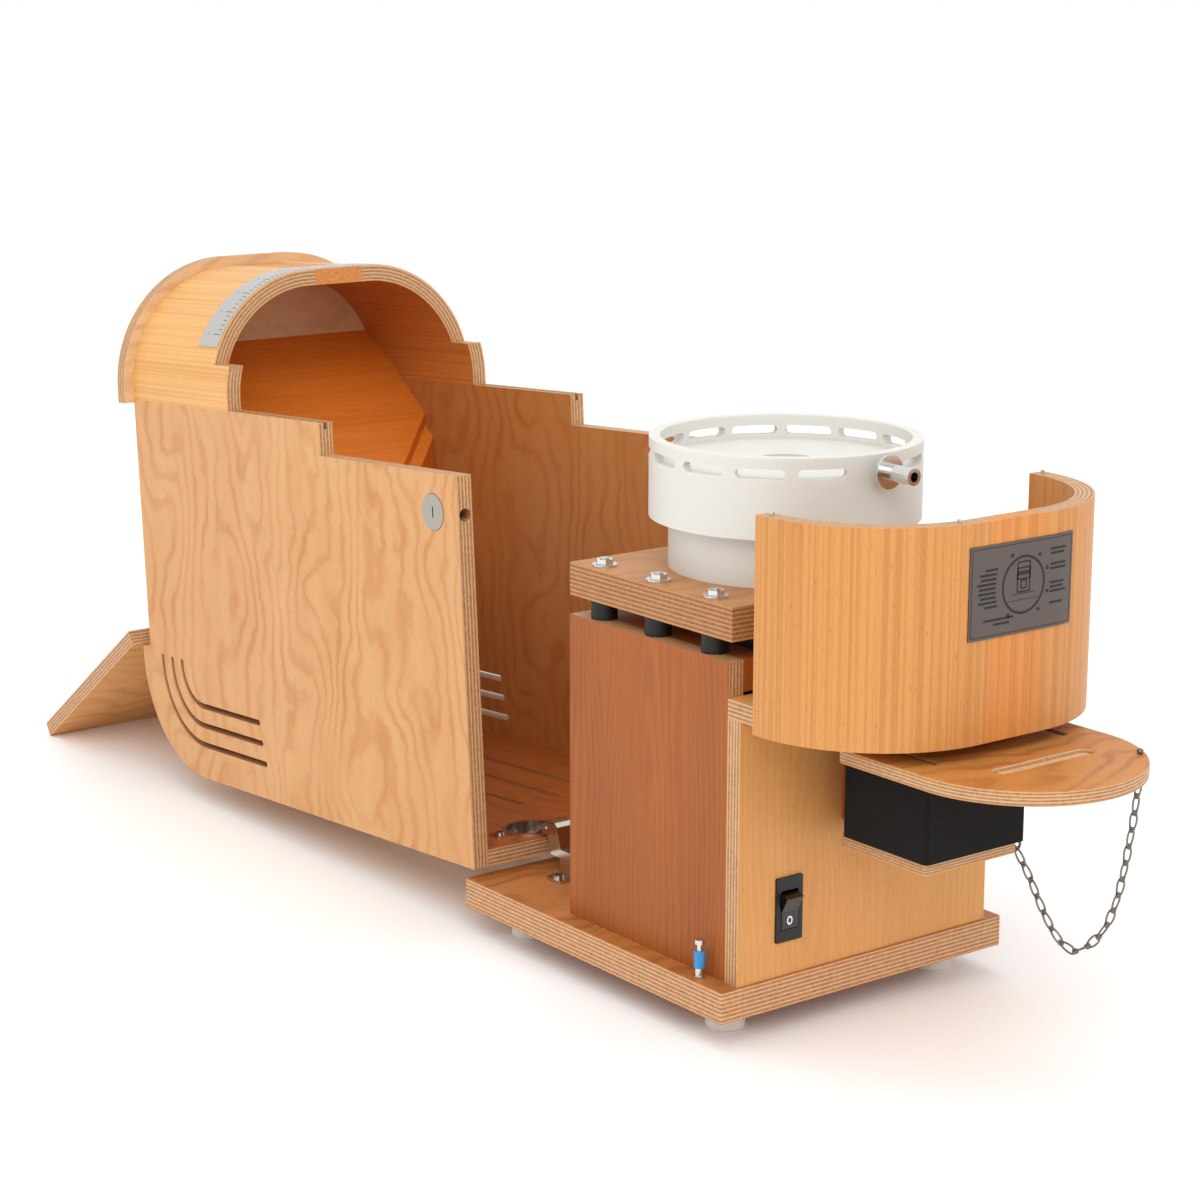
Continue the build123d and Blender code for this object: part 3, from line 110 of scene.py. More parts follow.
# ------------------------------------------------------------------ colour and nodes
def linear(code: str) -> tuple[float, float, float, float]:
    """Convert an sRGB hex colour to linear light.

    Args:
        code: six hex digits, with or without a leading hash.

    Returns:
        Linear red, green and blue, and an alpha of one.
    """
    raw = [int(code.lstrip("#")[i : i + 2], 16) / 255 for i in (0, 2, 4)]
    lin = [c / 12.92 if c <= 0.04045 else ((c + 0.055) / 1.055) ** 2.4 for c in raw]
    return (lin[0], lin[1], lin[2], 1.0)


class Graph:
    """A material's node tree, with one way to add a node."""

    def __init__(self, name: str) -> None:
        """Start an empty material.

        Args:
            name: the material's name.
        """
        self.material = bpy.data.materials.new(name)
        self.material.use_nodes = True
        self.tree = self.material.node_tree
        self.tree.nodes.clear()
        self.column = 0

    def add(
        self, kind: str, inputs: dict[Any, Any] | None = None, **settings: Any
    ) -> bpy.types.Node:
        """Add a node, set its properties and fill its sockets.

        Args:
            kind: the node's type name, such as ShaderNodeMath.
            inputs: socket name or index to a value or to another node's socket.
            **settings: properties set on the node before its sockets are filled.

        Returns:
            The new node.
        """
        node = self.tree.nodes.new(kind)
        node.location = (self.column * 190, -(self.column % 5) * 150)
        self.column += 1
        for key, value in settings.items():
            setattr(node, key, value)
        for key, value in (inputs or {}).items():
            if isinstance(value, bpy.types.NodeSocket):
                self.tree.links.new(value, node.inputs[key])
            else:
                node.inputs[key].default_value = value
        return node

    def math(self, operation: str, *values: Any) -> bpy.types.NodeSocket:
        """Add a scalar operation.

        Args:
            operation: the Math node's operation.
            *values: one to three numbers or sockets.

        Returns:
            The result socket.
        """
        node = self.add("ShaderNodeMath", dict(enumerate(values)), operation=operation)
        return node.outputs[0]

    def mix(self, factor: Any, low: Any, high: Any) -> bpy.types.NodeSocket:
        """Blend two colours.

        Args:
            factor: number or socket from 0 to 1.
            low: colour at 0.
            high: colour at 1.

        Returns:
            The colour socket.
        """
        node = self.add("ShaderNodeMix", {0: factor, 6: low, 7: high}, data_type="RGBA")
        return node.outputs[2]

    def noise(self, vector: Any, scale: Sequence[float], **inputs: float) -> bpy.types.NodeSocket:
        """Add noise stretched by a scale on each axis.

        Args:
            vector: the coordinate socket, in millimetres.
            scale: repeats per millimetre on each axis.
            **inputs: Detail, Roughness or Distortion.

        Returns:
            The noise value socket.
        """
        stretched = self.add(
            "ShaderNodeVectorMath", {0: vector, 1: tuple(scale)}, operation="MULTIPLY"
        ).outputs[0]
        sockets: dict[Any, Any] = {"Vector": stretched, "Scale": 1.0}
        sockets.update(inputs)
        return self.add("ShaderNodeTexNoise", sockets).outputs["Fac"]

    def held(self, *values: Any) -> bpy.types.NodeSocket:
        """Multiply, add, and hold the result between 0 and 1.

        Args:
            *values: the two factors and the number added.

        Returns:
            The result socket.
        """
        node = self.add("ShaderNodeMath", dict(enumerate(values)), operation="MULTIPLY_ADD")
        node.use_clamp = True
        return node.outputs[0]

    def wave(self, phase: Any) -> bpy.types.NodeSocket:
        """Take 0.5 sin(phase) + 0.5.

        Args:
            phase: the angle socket, in radians.

        Returns:
            A socket from 0 to 1.
        """
        return self.math("MULTIPLY_ADD", self.math("SINE", phase), 0.5, 0.5)

    def finish(self, shader: dict[Any, Any]) -> bpy.types.Material:
        """Add the shader and the output.

        Args:
            shader: the Principled shader's sockets and their values.

        Returns:
            The finished material.
        """
        surface = self.add("ShaderNodeBsdfPrincipled", shader)
        self.add("ShaderNodeOutputMaterial", {"Surface": surface.outputs[0]})
        return self.material


# ------------------------------------------------------------------ the mill's own frames
class Rest(Enum):
    """Which assembly a point is drawn in, each in its closed position."""

    STAND = "stand"
    HOUSING = "housing"
    LID = "lid"


class MillFrame:
    """Turns drawn mill coordinates into the row frame and back.

    Drawn coordinates are millimetres: x from the middle, y from the middle of
    the base board, h above it, with the housing and the lid closed.
    """

    def __init__(self, record: dict[str, Any]) -> None:
        """Read the joints and the base board.

        Args:
            record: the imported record.
        """
        low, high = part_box("base_board")
        joints = {j["name"]: j for j in record["behaviour"]["joints"]}
        drawn = Matrix.Translation((0, (low[1] + high[1]) / 2, high[2])) @ Matrix.Scale(MM, 4)
        tip = self._turn(joints["housing_tilt"]["pos_m"], -joints["housing_tilt"]["range_deg"][1])
        drop = self._turn(joints["lid_hinge"]["pos_m"], -joints["lid_hinge"]["range_deg"][1])
        self.to_row = {
            Rest.STAND: drawn,
            Rest.HOUSING: tip @ drawn,
            Rest.LID: drop @ tip @ drawn,
        }

    @staticmethod
    def _turn(pivot: Sequence[float], degrees: float) -> Matrix:
        """Rotate about an axis parallel to X.

        Args:
            pivot: a point on the axis, in metres.
            degrees: the angle.

        Returns:
            The 4 by 4 matrix.
        """
        at = Matrix.Translation(pivot)
        return at @ Matrix.Rotation(math.radians(degrees), 4, "X") @ at.inverted()

    def row(self, rest: Rest, points: np.ndarray) -> np.ndarray:
        """Place drawn points in the row frame.

        Args:
            rest: the assembly that the points belong to.
            points: n by 3 drawn coordinates in millimetres.

        Returns:
            n by 3 row coordinates in metres.
        """
        m = np.array(self.to_row[rest])
        return points @ m[:3, :3].T + m[:3, 3]

    def drawn(self, graph: Graph, rest: Rest) -> bpy.types.NodeSocket:
        """Give a material the drawn coordinates of the shaded point.

        Args:
            graph: the material's tree.
            rest: the assembly that the material is on.

        Returns:
            A vector socket in drawn millimetres.
        """
        back = self.to_row[rest].inverted()
        place, turn, _ = back.decompose()
        coords = graph.add("ShaderNodeTexCoord").outputs["Object"]
        mapping = graph.add("ShaderNodeMapping", {"Vector": coords}, vector_type="POINT")
        mapping.inputs["Location"].default_value = place
        mapping.inputs["Rotation"].default_value = turn.to_euler()
        mapping.inputs["Scale"].default_value = (1 / MM, 1 / MM, 1 / MM)
        return mapping.outputs[0]


# ------------------------------------------------------------------ timber
class Form(Enum):
    """How a board's thickness runs, in drawn coordinates."""

    ACROSS_X = "x"
    ACROSS_Y = "y"
    ACROSS_H = "h"
    BENT_NOSE = "nose"
    BENT_CORNER = "corner"
    SOLID = "solid"


class Cut(Enum):
    """How the face veneer was cut."""

    ROTARY = "rotary"
    STRIPED = "striped"
    CROWN = "crown"


@dataclass(frozen=True)
class Timber:
    """Colours of one lacquered veneer, as sRGB hex."""

    light: str
    dark: str
    fleck: str
    cut: Cut
    figure: float = 0.55
    ply_light: str = "D6AB7C"
    ply_dark: str = "7D4723"


@dataclass(frozen=True)
class Board:
    """One plywood node: where its plies start, how thick, its grain, and the painted shade on its
    inner face.
    """

    node: str
    rest: Rest
    form: Form
    start: float
    thick: float
    grain: int
    timber: Timber
    # inner: painted shade, a colour multiplied onto the face that looks into the housing; white paints
    # none.
    inner: str = "FFFFFF"


PALE = Timber("D4A16B", "C28048", "9C6032", Cut.ROTARY, 0.72)
PALE_LID = Timber("E4AB6B", "BE7D44", "A76B3A", Cut.ROTARY, 0.6)
TOP = Timber("DDB789", "BD8B5D", "A4764C", Cut.ROTARY, 0.55)
NOSE = Timber("D29452", "AA632E", "884A22", Cut.STRIPED, 0.6)
ARCH = Timber("EAB36E", "C48749", "A26737", Cut.STRIPED, 0.7)
KEY = Timber("D88F48", "AA5F29", "89481E", Cut.STRIPED, 0.68)
CABINET = Timber("AE6024", "803E10", "6C330C", Cut.CROWN, 0.7)
FRONT = Timber("D99D5B", "B87A41", "9F662F", Cut.CROWN, 0.45)
DECK = Timber("B8743A", "8D4D1F", "7A421A", Cut.ROTARY, 0.6, "DAAC7C", "80441F")
PLATE = Timber("BE8550", "9B6636", "845427", Cut.ROTARY, 0.5, "C08A58", "6E3B1A")
SLIDE = Timber("C98642", "9C5A24", "7C4218", Cut.ROTARY, 0.6)
INSIDE = Timber("E4802A", "B45C1A", "974C12", Cut.CROWN, 0.5)

BOARDS = (
    Board("base_board", Rest.STAND, Form.ACROSS_H, -20, 20, 0, DECK),
    Board("cabinet_sides", Rest.STAND, Form.ACROSS_X, 92.2, 12, 2, CABINET),
    Board("cabinet_front", Rest.STAND, Form.ACROSS_Y, -134.5, 12, 2, FRONT),
    Board("cabinet_back", Rest.STAND, Form.ACROSS_Y, 23.5, 12, 2, CABINET),
    Board("shelf_board", Rest.STAND, Form.ACROSS_H, 167, 12, 0, FRONT),
    Board("mantle_bends", Rest.STAND, Form.BENT_NOSE, 78, 12, 2, NOSE),
    Board("mantle_center_block", Rest.STAND, Form.SOLID, 0, 12, 2, KEY),
    Board("mill_plate", Rest.STAND, Form.ACROSS_H, 213.8, 21.2, 0, PLATE),
    Board("spout_board", Rest.STAND, Form.ACROSS_H, 82, 8, 0, FRONT),
    Board("slide_board", Rest.STAND, Form.ACROSS_H, 149.5, 9, 0, SLIDE),
    Board("buffer_rails", Rest.STAND, Form.SOLID, 0, 12, 1, CABINET),
    Board("spout_bracket", Rest.STAND, Form.SOLID, 0, 12, 2, CABINET),
    Board("slide_runners", Rest.STAND, Form.SOLID, 0, 12, 1, CABINET),
    # The housing boards' last colour is painted shade, multiplied onto the face that looks into the
    # housing.
    Board("housing_left_side", Rest.HOUSING, Form.ACROSS_X, 105, 12, 1, PALE, "EAD0AE"),
    Board("housing_right_side", Rest.HOUSING, Form.ACROSS_X, 105, 12, 1, PALE, "EAD0AE"),
    Board("housing_back", Rest.HOUSING, Form.ACROSS_Y, 123.25, 12, 2, PALE_LID, "B98A66"),
    Board("housing_corner", Rest.HOUSING, Form.BENT_CORNER, 78, 12, 0, PALE_LID, "B98A66"),
    Board("arch_bends", Rest.HOUSING, Form.BENT_NOSE, 78, 12, 2, ARCH, "E6C09A"),
    Board("arch_center_block", Rest.HOUSING, Form.SOLID, 0, 12, 2, KEY),
    Board("top_plate", Rest.HOUSING, Form.ACROSS_H, 448, 12, 0, TOP),
    Board("hopper_end_boards", Rest.HOUSING, Form.SOLID, 0, 8, 0, INSIDE),
    Board("hopper_cheeks", Rest.HOUSING, Form.SOLID, 0, 8, 1, INSIDE),
    Board("lid_board", Rest.LID, Form.ACROSS_H, 448, 12, 0, PALE_LID),
)


class Veneer:
    """The colour and figure of one board's faces."""

    SHIFT = (137.0, 71.0, 53.0)

    def __init__(self, graph: Graph, board: Board, drawn: Any, seed: int) -> None:
        """Shift the pattern so that no two boards are alike.

        Args:
            graph: the material's tree.
            board: the board.
            drawn: the drawn coordinate socket.
            seed: the board's number.
        """
        self.graph = graph
        self.board = board
        self.drawn = drawn
        shift = tuple(seed * step for step in self.SHIFT)
        node = graph.add("ShaderNodeVectorMath", {0: drawn, 1: shift}, operation="ADD")
        self.moved = node.outputs[0]

    def _noise(self, across: float, along: float, **inputs: float) -> Any:
        """Add noise stretched along the grain.

        Args:
            across: its size across the grain, in millimetres.
            along: its size along the grain.
            **inputs: Detail, Roughness or Distortion.

        Returns:
            The noise socket.
        """
        scale = [1 / along if axis == self.board.grain else 1 / across for axis in range(3)]
        return self.graph.noise(self.moved, scale, **inputs)

    def _axes(self) -> tuple[Any, Any]:
        """Find the coordinates that cross and follow the grain on the face.

        Returns:
            The crossing socket and the following socket, in millimetres.
        """
        flat = {Form.ACROSS_X: 0, Form.ACROSS_Y: 1, Form.ACROSS_H: 2}.get(self.board.form, 0)
        across = next(axis for axis in (1, 0, 2) if axis not in (flat, self.board.grain))
        parts = self.graph.add("ShaderNodeSeparateXYZ", {0: self.drawn}).outputs
        return parts[across], parts[self.board.grain]

    def rotary(self) -> Any:
        """Draw a peeled log's contours: sin of a rough height that climbs across.

        Returns:
            The tone socket, light at 0 and dark at 1.
        """
        graph = self.graph
        ground = self._noise(70, 120, Detail=1.0, Roughness=0.4, Distortion=0.3)
        ripple = self._noise(20, 24, Detail=3.0, Roughness=0.55)
        slope = graph.math("MULTIPLY", self._axes()[0], 0.0075)
        height = graph.math("ADD", ground, slope)
        phase = graph.math("MULTIPLY_ADD", height, 40.0, graph.math("MULTIPLY", ripple, 7.0))
        strength = graph.held(self._noise(45, 90), 2.4, -0.5)
        lines = graph.math("MULTIPLY", graph.math("POWER", graph.wave(phase), 3.0), strength)
        drift = self._noise(30, 110, Detail=2.5)
        ground_tone = graph.math("MULTIPLY_ADD", drift, 1.3, -0.42)
        return graph.math("MULTIPLY_ADD", lines, 0.95, ground_tone)

    def crown(self) -> Any:
        """Draw a flat-sawn board's arches: sin of the distance from a slanted heart.

        Returns:
            The tone socket, light at 0 and dark at 1.
        """
        graph = self.graph
        across, along = self._axes()
        bend = self._noise(40, 260, Detail=1.0)
        side = graph.math("MULTIPLY_ADD", bend, 46.0, graph.math("ADD", across, 30.0))
        rise = graph.math("MULTIPLY_ADD", along, 0.085, -6.0)
        square = graph.math("MULTIPLY_ADD", side, side, graph.math("MULTIPLY", rise, rise))
        fine = graph.math("MULTIPLY", self._noise(3.0, 60, Detail=2.0), 3.2)
        phase = graph.math("MULTIPLY_ADD", graph.math("SQRT", square), 1.35, fine)
        broad = graph.math("MULTIPLY", self._noise(26, 200, Detail=2.0), 0.9)
        ground = graph.math("MULTIPLY_ADD", self._noise(1.6, 45, Detail=1.0), 0.55, broad)
        return graph.math("MULTIPLY_ADD", graph.wave(phase), 0.34, graph.math("SUBTRACT", ground, 0.3))

    def striped(self) -> Any:
        """Draw the straight stripes of a quarter-cut board.

        Returns:
            The tone socket, light at 0 and dark at 1.
        """
        graph = self.graph
        sharp = graph.held(self._noise(2.3, 420, Detail=1.5, Roughness=0.5), 4.5, -1.9)
        broad = graph.math("MULTIPLY", self._noise(60, 900, Detail=1.0), 0.35)
        return graph.math("MULTIPLY_ADD", sharp, 0.6, broad)

    def face(self) -> tuple[Any, Any]:
        """Colour the face.

        Returns:
            The colour socket, and the mask of short dark flecks.
        """
        graph, timber = self.graph, self.board.timber
        cuts = {Cut.ROTARY: self.rotary, Cut.CROWN: self.crown, Cut.STRIPED: self.striped}
        figured = graph.held(cuts[timber.cut](), timber.figure, 0.0)
        base = graph.mix(figured, linear(timber.light), linear(timber.dark))
        mask = graph.held(self._noise(0.55, 5.5, Detail=1.0), 6.0, -3.7)
        soft = graph.math("MULTIPLY", mask, 0.45)
        return graph.mix(soft, base, linear(timber.fleck)), mask


class Joinery:
    """Builds the plywood and solid timber materials."""

    PLIES = 9
    PLIES_THICK = 15
    THICK_FROM = 15.0
    NOSE_X = 27.0
    NOSE_Y = -165.0
    CORNER_Y = 45.25
    CORNER_H = 370.0
    SKIN = 0.5
    WHITE = linear("FFFFFF")

    def __init__(self, mill: MillFrame, nodes: dict[str, bpy.types.Object]) -> None:
        """Keep the frame and the nodes to paint.

        Args:
            mill: the drawn frame.
            nodes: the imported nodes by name.
        """
        self.mill = mill
        self.nodes = nodes

    def paint(self, boards: Iterable[Board]) -> None:
        """Give each board its own timber.

        Args:
            boards: the boards to paint.
        """
        for seed, board in enumerate(boards):
            set_material(self.nodes[board.node], self._material(board, seed))

    def _depth(self, graph: Graph, board: Board, drawn: Any) -> Any:
        """Find the depth into the plies, in millimetres from the inner face.

        On a bent board it is hypot(max(a - a0, 0), max(b - b0, 0)) - start, the
        distance from the line or curve that the bend is drawn about.

        Args:
            graph: the material's tree.
            board: the board.
            drawn: the drawn coordinate socket.

        Returns:
            The depth socket.
        """
        axes = graph.add("ShaderNodeSeparateXYZ", {0: drawn}).outputs
        if board.form is Form.ACROSS_X:
            along = graph.math("ABSOLUTE", axes[0])
        elif board.form is Form.ACROSS_Y:
            along = axes[1]
        elif board.form is Form.ACROSS_H:
            along = axes[2]
        elif board.form is Form.BENT_NOSE:
            wide = graph.math("SUBTRACT", graph.math("ABSOLUTE", axes[0]), self.NOSE_X)
            deep = graph.math("SUBTRACT", self.NOSE_Y, axes[1])
            along = self._bend(graph, wide, deep)
        else:
            wide = graph.math("SUBTRACT", axes[1], self.CORNER_Y)
            deep = graph.math("SUBTRACT", axes[2], self.CORNER_H)
            along = self._bend(graph, wide, deep)
        return graph.math("SUBTRACT", along, board.start)

    @staticmethod
    def _bend(graph: Graph, wide: Any, deep: Any) -> Any:
        """Take hypot of two lengths, each held at zero or more.

        Args:
            graph: the material's tree.
            wide: the first length.
            deep: the second length.

        Returns:
            The distance socket.
        """
        a = graph.math("MAXIMUM", wide, 0.0)
        b = graph.math("MAXIMUM", deep, 0.0)
        square = graph.math("ADD", graph.math("MULTIPLY", a, a), graph.math("MULTIPLY", b, b))
        return graph.math("SQRT", square)

    def _edge(self, graph: Graph, board: Board, drawn: Any, depth: Any) -> Any:
        """Colour an edge: plies of alternating tone, darker at each glue line.

        Args:
            graph: the material's tree.
            board: the board.
            drawn: the drawn coordinate socket.
            depth: the depth socket.

        Returns:
            The colour socket.
        """
        plies = self.PLIES if board.thick < self.THICK_FROM else self.PLIES_THICK
        count = graph.math("DIVIDE", depth, board.thick / plies)
        parity = graph.math("FLOORED_MODULO", graph.math("FLOOR", count), 2.0)
        speck = graph.noise(drawn, (0.35, 0.35, 0.35), Detail=3.0, Roughness=0.7)
        within = graph.math("MULTIPLY_ADD", graph.math("FRACT", count), 2.0, -1.0)
        glue = graph.math("POWER", graph.math("ABSOLUTE", within), 8.0)
        shade = graph.math("MULTIPLY_ADD", glue, 0.3, -0.25)
        tone = graph.held(speck, 0.75, graph.math("MULTIPLY_ADD", parity, 0.5, shade))
        return graph.mix(tone, linear(board.timber.ply_light), linear(board.timber.ply_dark))

    def _material(self, board: Board, seed: int) -> bpy.types.Material:
        """Build one board's material.

        Args:
            board: the board.
            seed: the board's number.

        Returns:
            The material.
        """
        graph = Graph(f"timber_{board.node}")
        drawn = self.mill.drawn(graph, board.rest)
        colour, mask = Veneer(graph, board, drawn, seed).face()
        if board.form is not Form.SOLID:
            depth = self._depth(graph, board, drawn)
            edge = self._edge(graph, board, drawn, depth)
            # Painted shade: the face that looks into the housing is multiplied by board.inner, darker
            # where little light reaches inside.
            inside = graph.math("LESS_THAN", depth, self.SKIN)
            inner_face_shade = graph.mix(inside, self.WHITE, linear(board.inner))
            inner_shaded_colour = graph.add(
                "ShaderNodeMix",
                {0: 1.0, 6: colour, 7: inner_face_shade},
                data_type="RGBA",
                blend_type="MULTIPLY",
            ).outputs[2]
            centred = graph.math("ABSOLUTE", graph.math("SUBTRACT", depth, board.thick / 2))
            skin = graph.math("GREATER_THAN", centred, board.thick / 2 - self.SKIN)
            colour = graph.mix(skin, edge, inner_shaded_colour)
        bump = graph.add("ShaderNodeBump", {"Height": mask, "Strength": 0.25, "Distance": 0.1 * MM})
        return graph.finish(
            {
                "Base Color": colour,
                "Roughness": 0.5,
                "Specular IOR Level": 0.3,
                "Normal": bump.outputs[0],
                "Coat Weight": 0.07,
                "Coat Roughness": 0.3,
            }
        )


# ------------------------------------------------------------------ plain finishes
@dataclass(frozen=True)
class Finish:
    """One plain finish: colour, sheen and an optional fine texture."""

    name: str
    colour: str
    roughness: float
    metallic: float = 0.0
    coat: float = 0.0
    scatter: float = 0.0
    grit_mm: float = 0.0
    grit: float = 0.0


FINISHES: dict[Finish, tuple[str, ...]] = {
    Finish("frosted_white", "D6D4CD", 0.42, scatter=0.25, grit_mm=0.6, grit=0.03): (
        "grinding_chamber",
        "adjusting_ring",
    ),
    Finish("white_duct", "D4D0C9", 0.5): ("flour_chute",),
    Finish("pale_rubber", "DAD6CC", 0.7): ("feet",),
    Finish("black_foam", "060504", 1.0, grit_mm=1.1, grit=0.5): ("spout_foam",),
    Finish("zinc_steel", "D6D5D2", 0.2, metallic=1.0): (
        "plate_nuts",
        "lever_stud",
        "lever_socket",
        "mantle_pins",
        "dowel_pins",
        "lid_hinge_fixed_leaf",
        "lid_hinge_moving_leaf",
        "shaft_bearings",
        "motor_rotor",
    ),
    Finish("cam_zinc", "AEA79C", 0.36, metallic=1.0, grit_mm=0.5, grit=0.1): (
        "left_cam_lock",
        "right_cam_lock",
    ),
    Finish("nickel", "CFC8BE", 0.2, metallic=1.0): (
        "hinge_plates",
        "hinge_arms",
        "hinge_links",
        "hinge_cups",
    ),
    Finish("plate_alloy", "645A56", 0.38, metallic=0.85, grit_mm=0.3, grit=0.05): (
        "instruction_plate",
    ),
    Finish("strip_alloy", "C4C2BE", 0.34, metallic=0.9): ("scale_strip",),
    Finish("blue_plastic", "2389C9", 0.28, coat=0.4): ("dowel_sleeves",),
    Finish("black_plastic", "070605", 0.4, grit_mm=0.4, grit=0.12): (
        "switch_housing",
        "power_gland",
        "cooling_fan",
    ),
    Finish("rocker_gloss", "070505", 0.16, coat=0.5): ("rocker",),
    Finish("motor_grey", "4A4E52", 0.5): ("motor_stator",),
    Finish("turned_alloy", "B4B4B6", 0.32, metallic=1.0): (
        "motor_end_bells",
        "capacitor",
        "stone_carrier",
    ),
    Finish("corundum", "CFC9BE", 0.85, grit_mm=1.4, grit=0.6): ("lower_stone", "upper_stone"),
    Finish("eye_steel", "77746F", 0.4, metallic=1.0): ("slide_eye", "spout_eye"),
}
INK = Finish("black_ink", "0E0B0A", 0.6)
PAINT = Finish("white_paint", "E8E6F2", 0.5)
CHAIN_STEEL = Finish("chain_steel", "7F7B75", 0.34, metallic=1.0)
SCALE_INK = Finish("scale_ink", "5A5653", 0.5)
FLOOR = Finish("floor", "FDFDFD", 0.95)


def plain_material(finish: Finish) -> bpy.types.Material:
    """Build a plain finish.

    Args:
        finish: its colour and sheen.

    Returns:
        The material.
    """
    graph = Graph(finish.name)
    shader: dict[Any, Any] = {
        "Base Color": linear(finish.colour),
        "Roughness": finish.roughness,
        "Metallic": finish.metallic,
        "Coat Weight": finish.coat,
        "Subsurface Weight": finish.scatter,
        "Subsurface Scale": 0.004,
        "Subsurface Radius": (1.0, 0.9, 0.8),
    }
    if finish.grit:
        coords = graph.add("ShaderNodeTexCoord").outputs["Object"]
        step = 1000 / finish.grit_mm
        speck = graph.noise(coords, (step, step, step), Detail=2.0)
        bump = graph.add(
            "ShaderNodeBump",
            {"Height": speck, "Strength": finish.grit, "Distance": finish.grit_mm * MM * 0.5},
        )
        shader["Normal"] = bump.outputs[0]
    return graph.finish(shader)


def set_material(obj: bpy.types.Object, material: bpy.types.Material) -> None:
    """Make a material an object's only one.

    Args:
        obj: the mesh object.
        material: the material.
    """
    obj.data.materials.clear()
    obj.data.materials.append(material)
    LOG.info("%s dressed in %s", obj.name, material.name)


# ------------------------------------------------------------------ new meshes
def mesh_object(
    name: str,
    verts: np.ndarray,
    faces: np.ndarray,
    material: bpy.types.Material,
    smooth: bool = False,
) -> bpy.types.Object:
    """Make a mesh object from arrays of row coordinates and quads.

    Args:
        name: the object's name.
        verts: n by 3 points in metres.
        faces: m by 4 vertex indices.
        material: its material.
        smooth: True to shade it smooth.

    Returns:
        The object, at the origin.
    """
    mesh = bpy.data.meshes.new(name)
    mesh.vertices.add(len(verts))
    mesh.vertices.foreach_set("co", np.asarray(verts, np.float32).ravel())
    mesh.loops.add(faces.size)
    mesh.loops.foreach_set("vertex_index", np.asarray(faces, np.int32).ravel())
    mesh.polygons.add(len(faces))
    mesh.polygons.foreach_set("loop_start", np.arange(0, faces.size, 4, dtype=np.int32))
    mesh.polygons.foreach_set("use_smooth", np.full(len(faces), smooth))
    mesh.update(calc_edges=True)
    mesh.validate()
    obj = bpy.data.objects.new(name, mesh)
    bpy.context.scene.collection.objects.link(obj)
    set_material(obj, material)
    return obj


class NosePrint:
    """Flat marks printed on the outside of the bent nose.

    A mark is drawn in (s, h): s is the length along the outline from its
    middle, h the height. The outline is x = s for |s| <= 27, then the arc
    (27 + R sin a, -165 - R cos a) with a = (|s| - 27) / 90 and R = 90 plus the
    clearance, then straight back.
    """

    FLAT = 27.0
    BEND_Y = -165.0
    RADIUS = 90.0

    def __init__(self, clearance: float) -> None:
        """Start an empty print.

        Args:
            clearance: how far outside the nose it lies, in millimetres.
        """
        self.clearance = clearance
        self.verts: list[np.ndarray] = []
        self.faces: list[np.ndarray] = []
        self.count = 0

    def _place(self, s: np.ndarray, h: np.ndarray) -> np.ndarray:
        """Bend print positions round the nose.

        Args:
            s: lengths along the outline.
            h: heights, in an array of the same shape.

        Returns:
            Drawn coordinates, three to a position.
        """
        radius = self.RADIUS + self.clearance
        side = np.sign(s)
        past = np.maximum(np.abs(s) - self.FLAT, 0.0)
        turn = np.minimum(past / self.RADIUS, math.pi / 2)
        back = np.maximum(past - self.RADIUS * math.pi / 2, 0.0)
        x = side * (np.minimum(np.abs(s), self.FLAT) + radius * np.sin(turn))
        y = self.BEND_Y - radius * np.cos(turn) + back
        return np.stack([x, y, h], axis=-1)

    def _grid(self, s: np.ndarray, h: np.ndarray) -> None:
        """Add a strip of quads from a two-row grid of positions.

        Args:
            s: two rows of lengths along the outline.
            h: two rows of heights.
        """
        points = self._place(s.ravel(), h.ravel())
        n = s.shape[1]
        i = np.arange(n - 1)
        quads = np.stack([i, i + 1, i + 1 + n, i + n], axis=-1) + self.count
        self.verts.append(points)
        self.faces.append(quads)
        self.count += len(points)

    def bar(self, s0: float, s1: float, h0: float, h1: float) -> None:
        """Print a filled rectangle.

        Args:
            s0: left edge.
            s1: right edge.
            h0: lower edge.
            h1: upper edge.
        """
        n = max(2, int(abs(s1 - s0) / 3) + 2)
        s = np.linspace(s0, s1, n)
        self._grid(np.stack([s, s]), np.stack([np.full(n, h0), np.full(n, h1)]))

    def ring(self, s: float, h: float, outer: float, inner: float, steps: int = 48) -> None:
        """Print a ring, or a dot when inner is zero.

        Args:
            s: centre along the outline.
            h: centre height.
            outer: outer radius.
            inner: inner radius.
            steps: sides.
        """
        a = np.linspace(0, 2 * math.pi, steps + 1)
        radii = np.array([[outer], [inner]])
        self._grid(s + radii * np.cos(a), h + radii * np.sin(a))

    def build(
        self, name: str, mill: MillFrame, rest: Rest, material: bpy.types.Material
    ) -> bpy.types.Object:
        """Make the printed mesh.

        Args:
            name: the object's name.
            mill: the drawn frame.
            rest: the assembly that carries the print.
            material: the ink.

        Returns:
            The object.
        """
        verts = mill.row(rest, np.concatenate(self.verts))
        return mesh_object(name, verts, np.concatenate(self.faces), material)


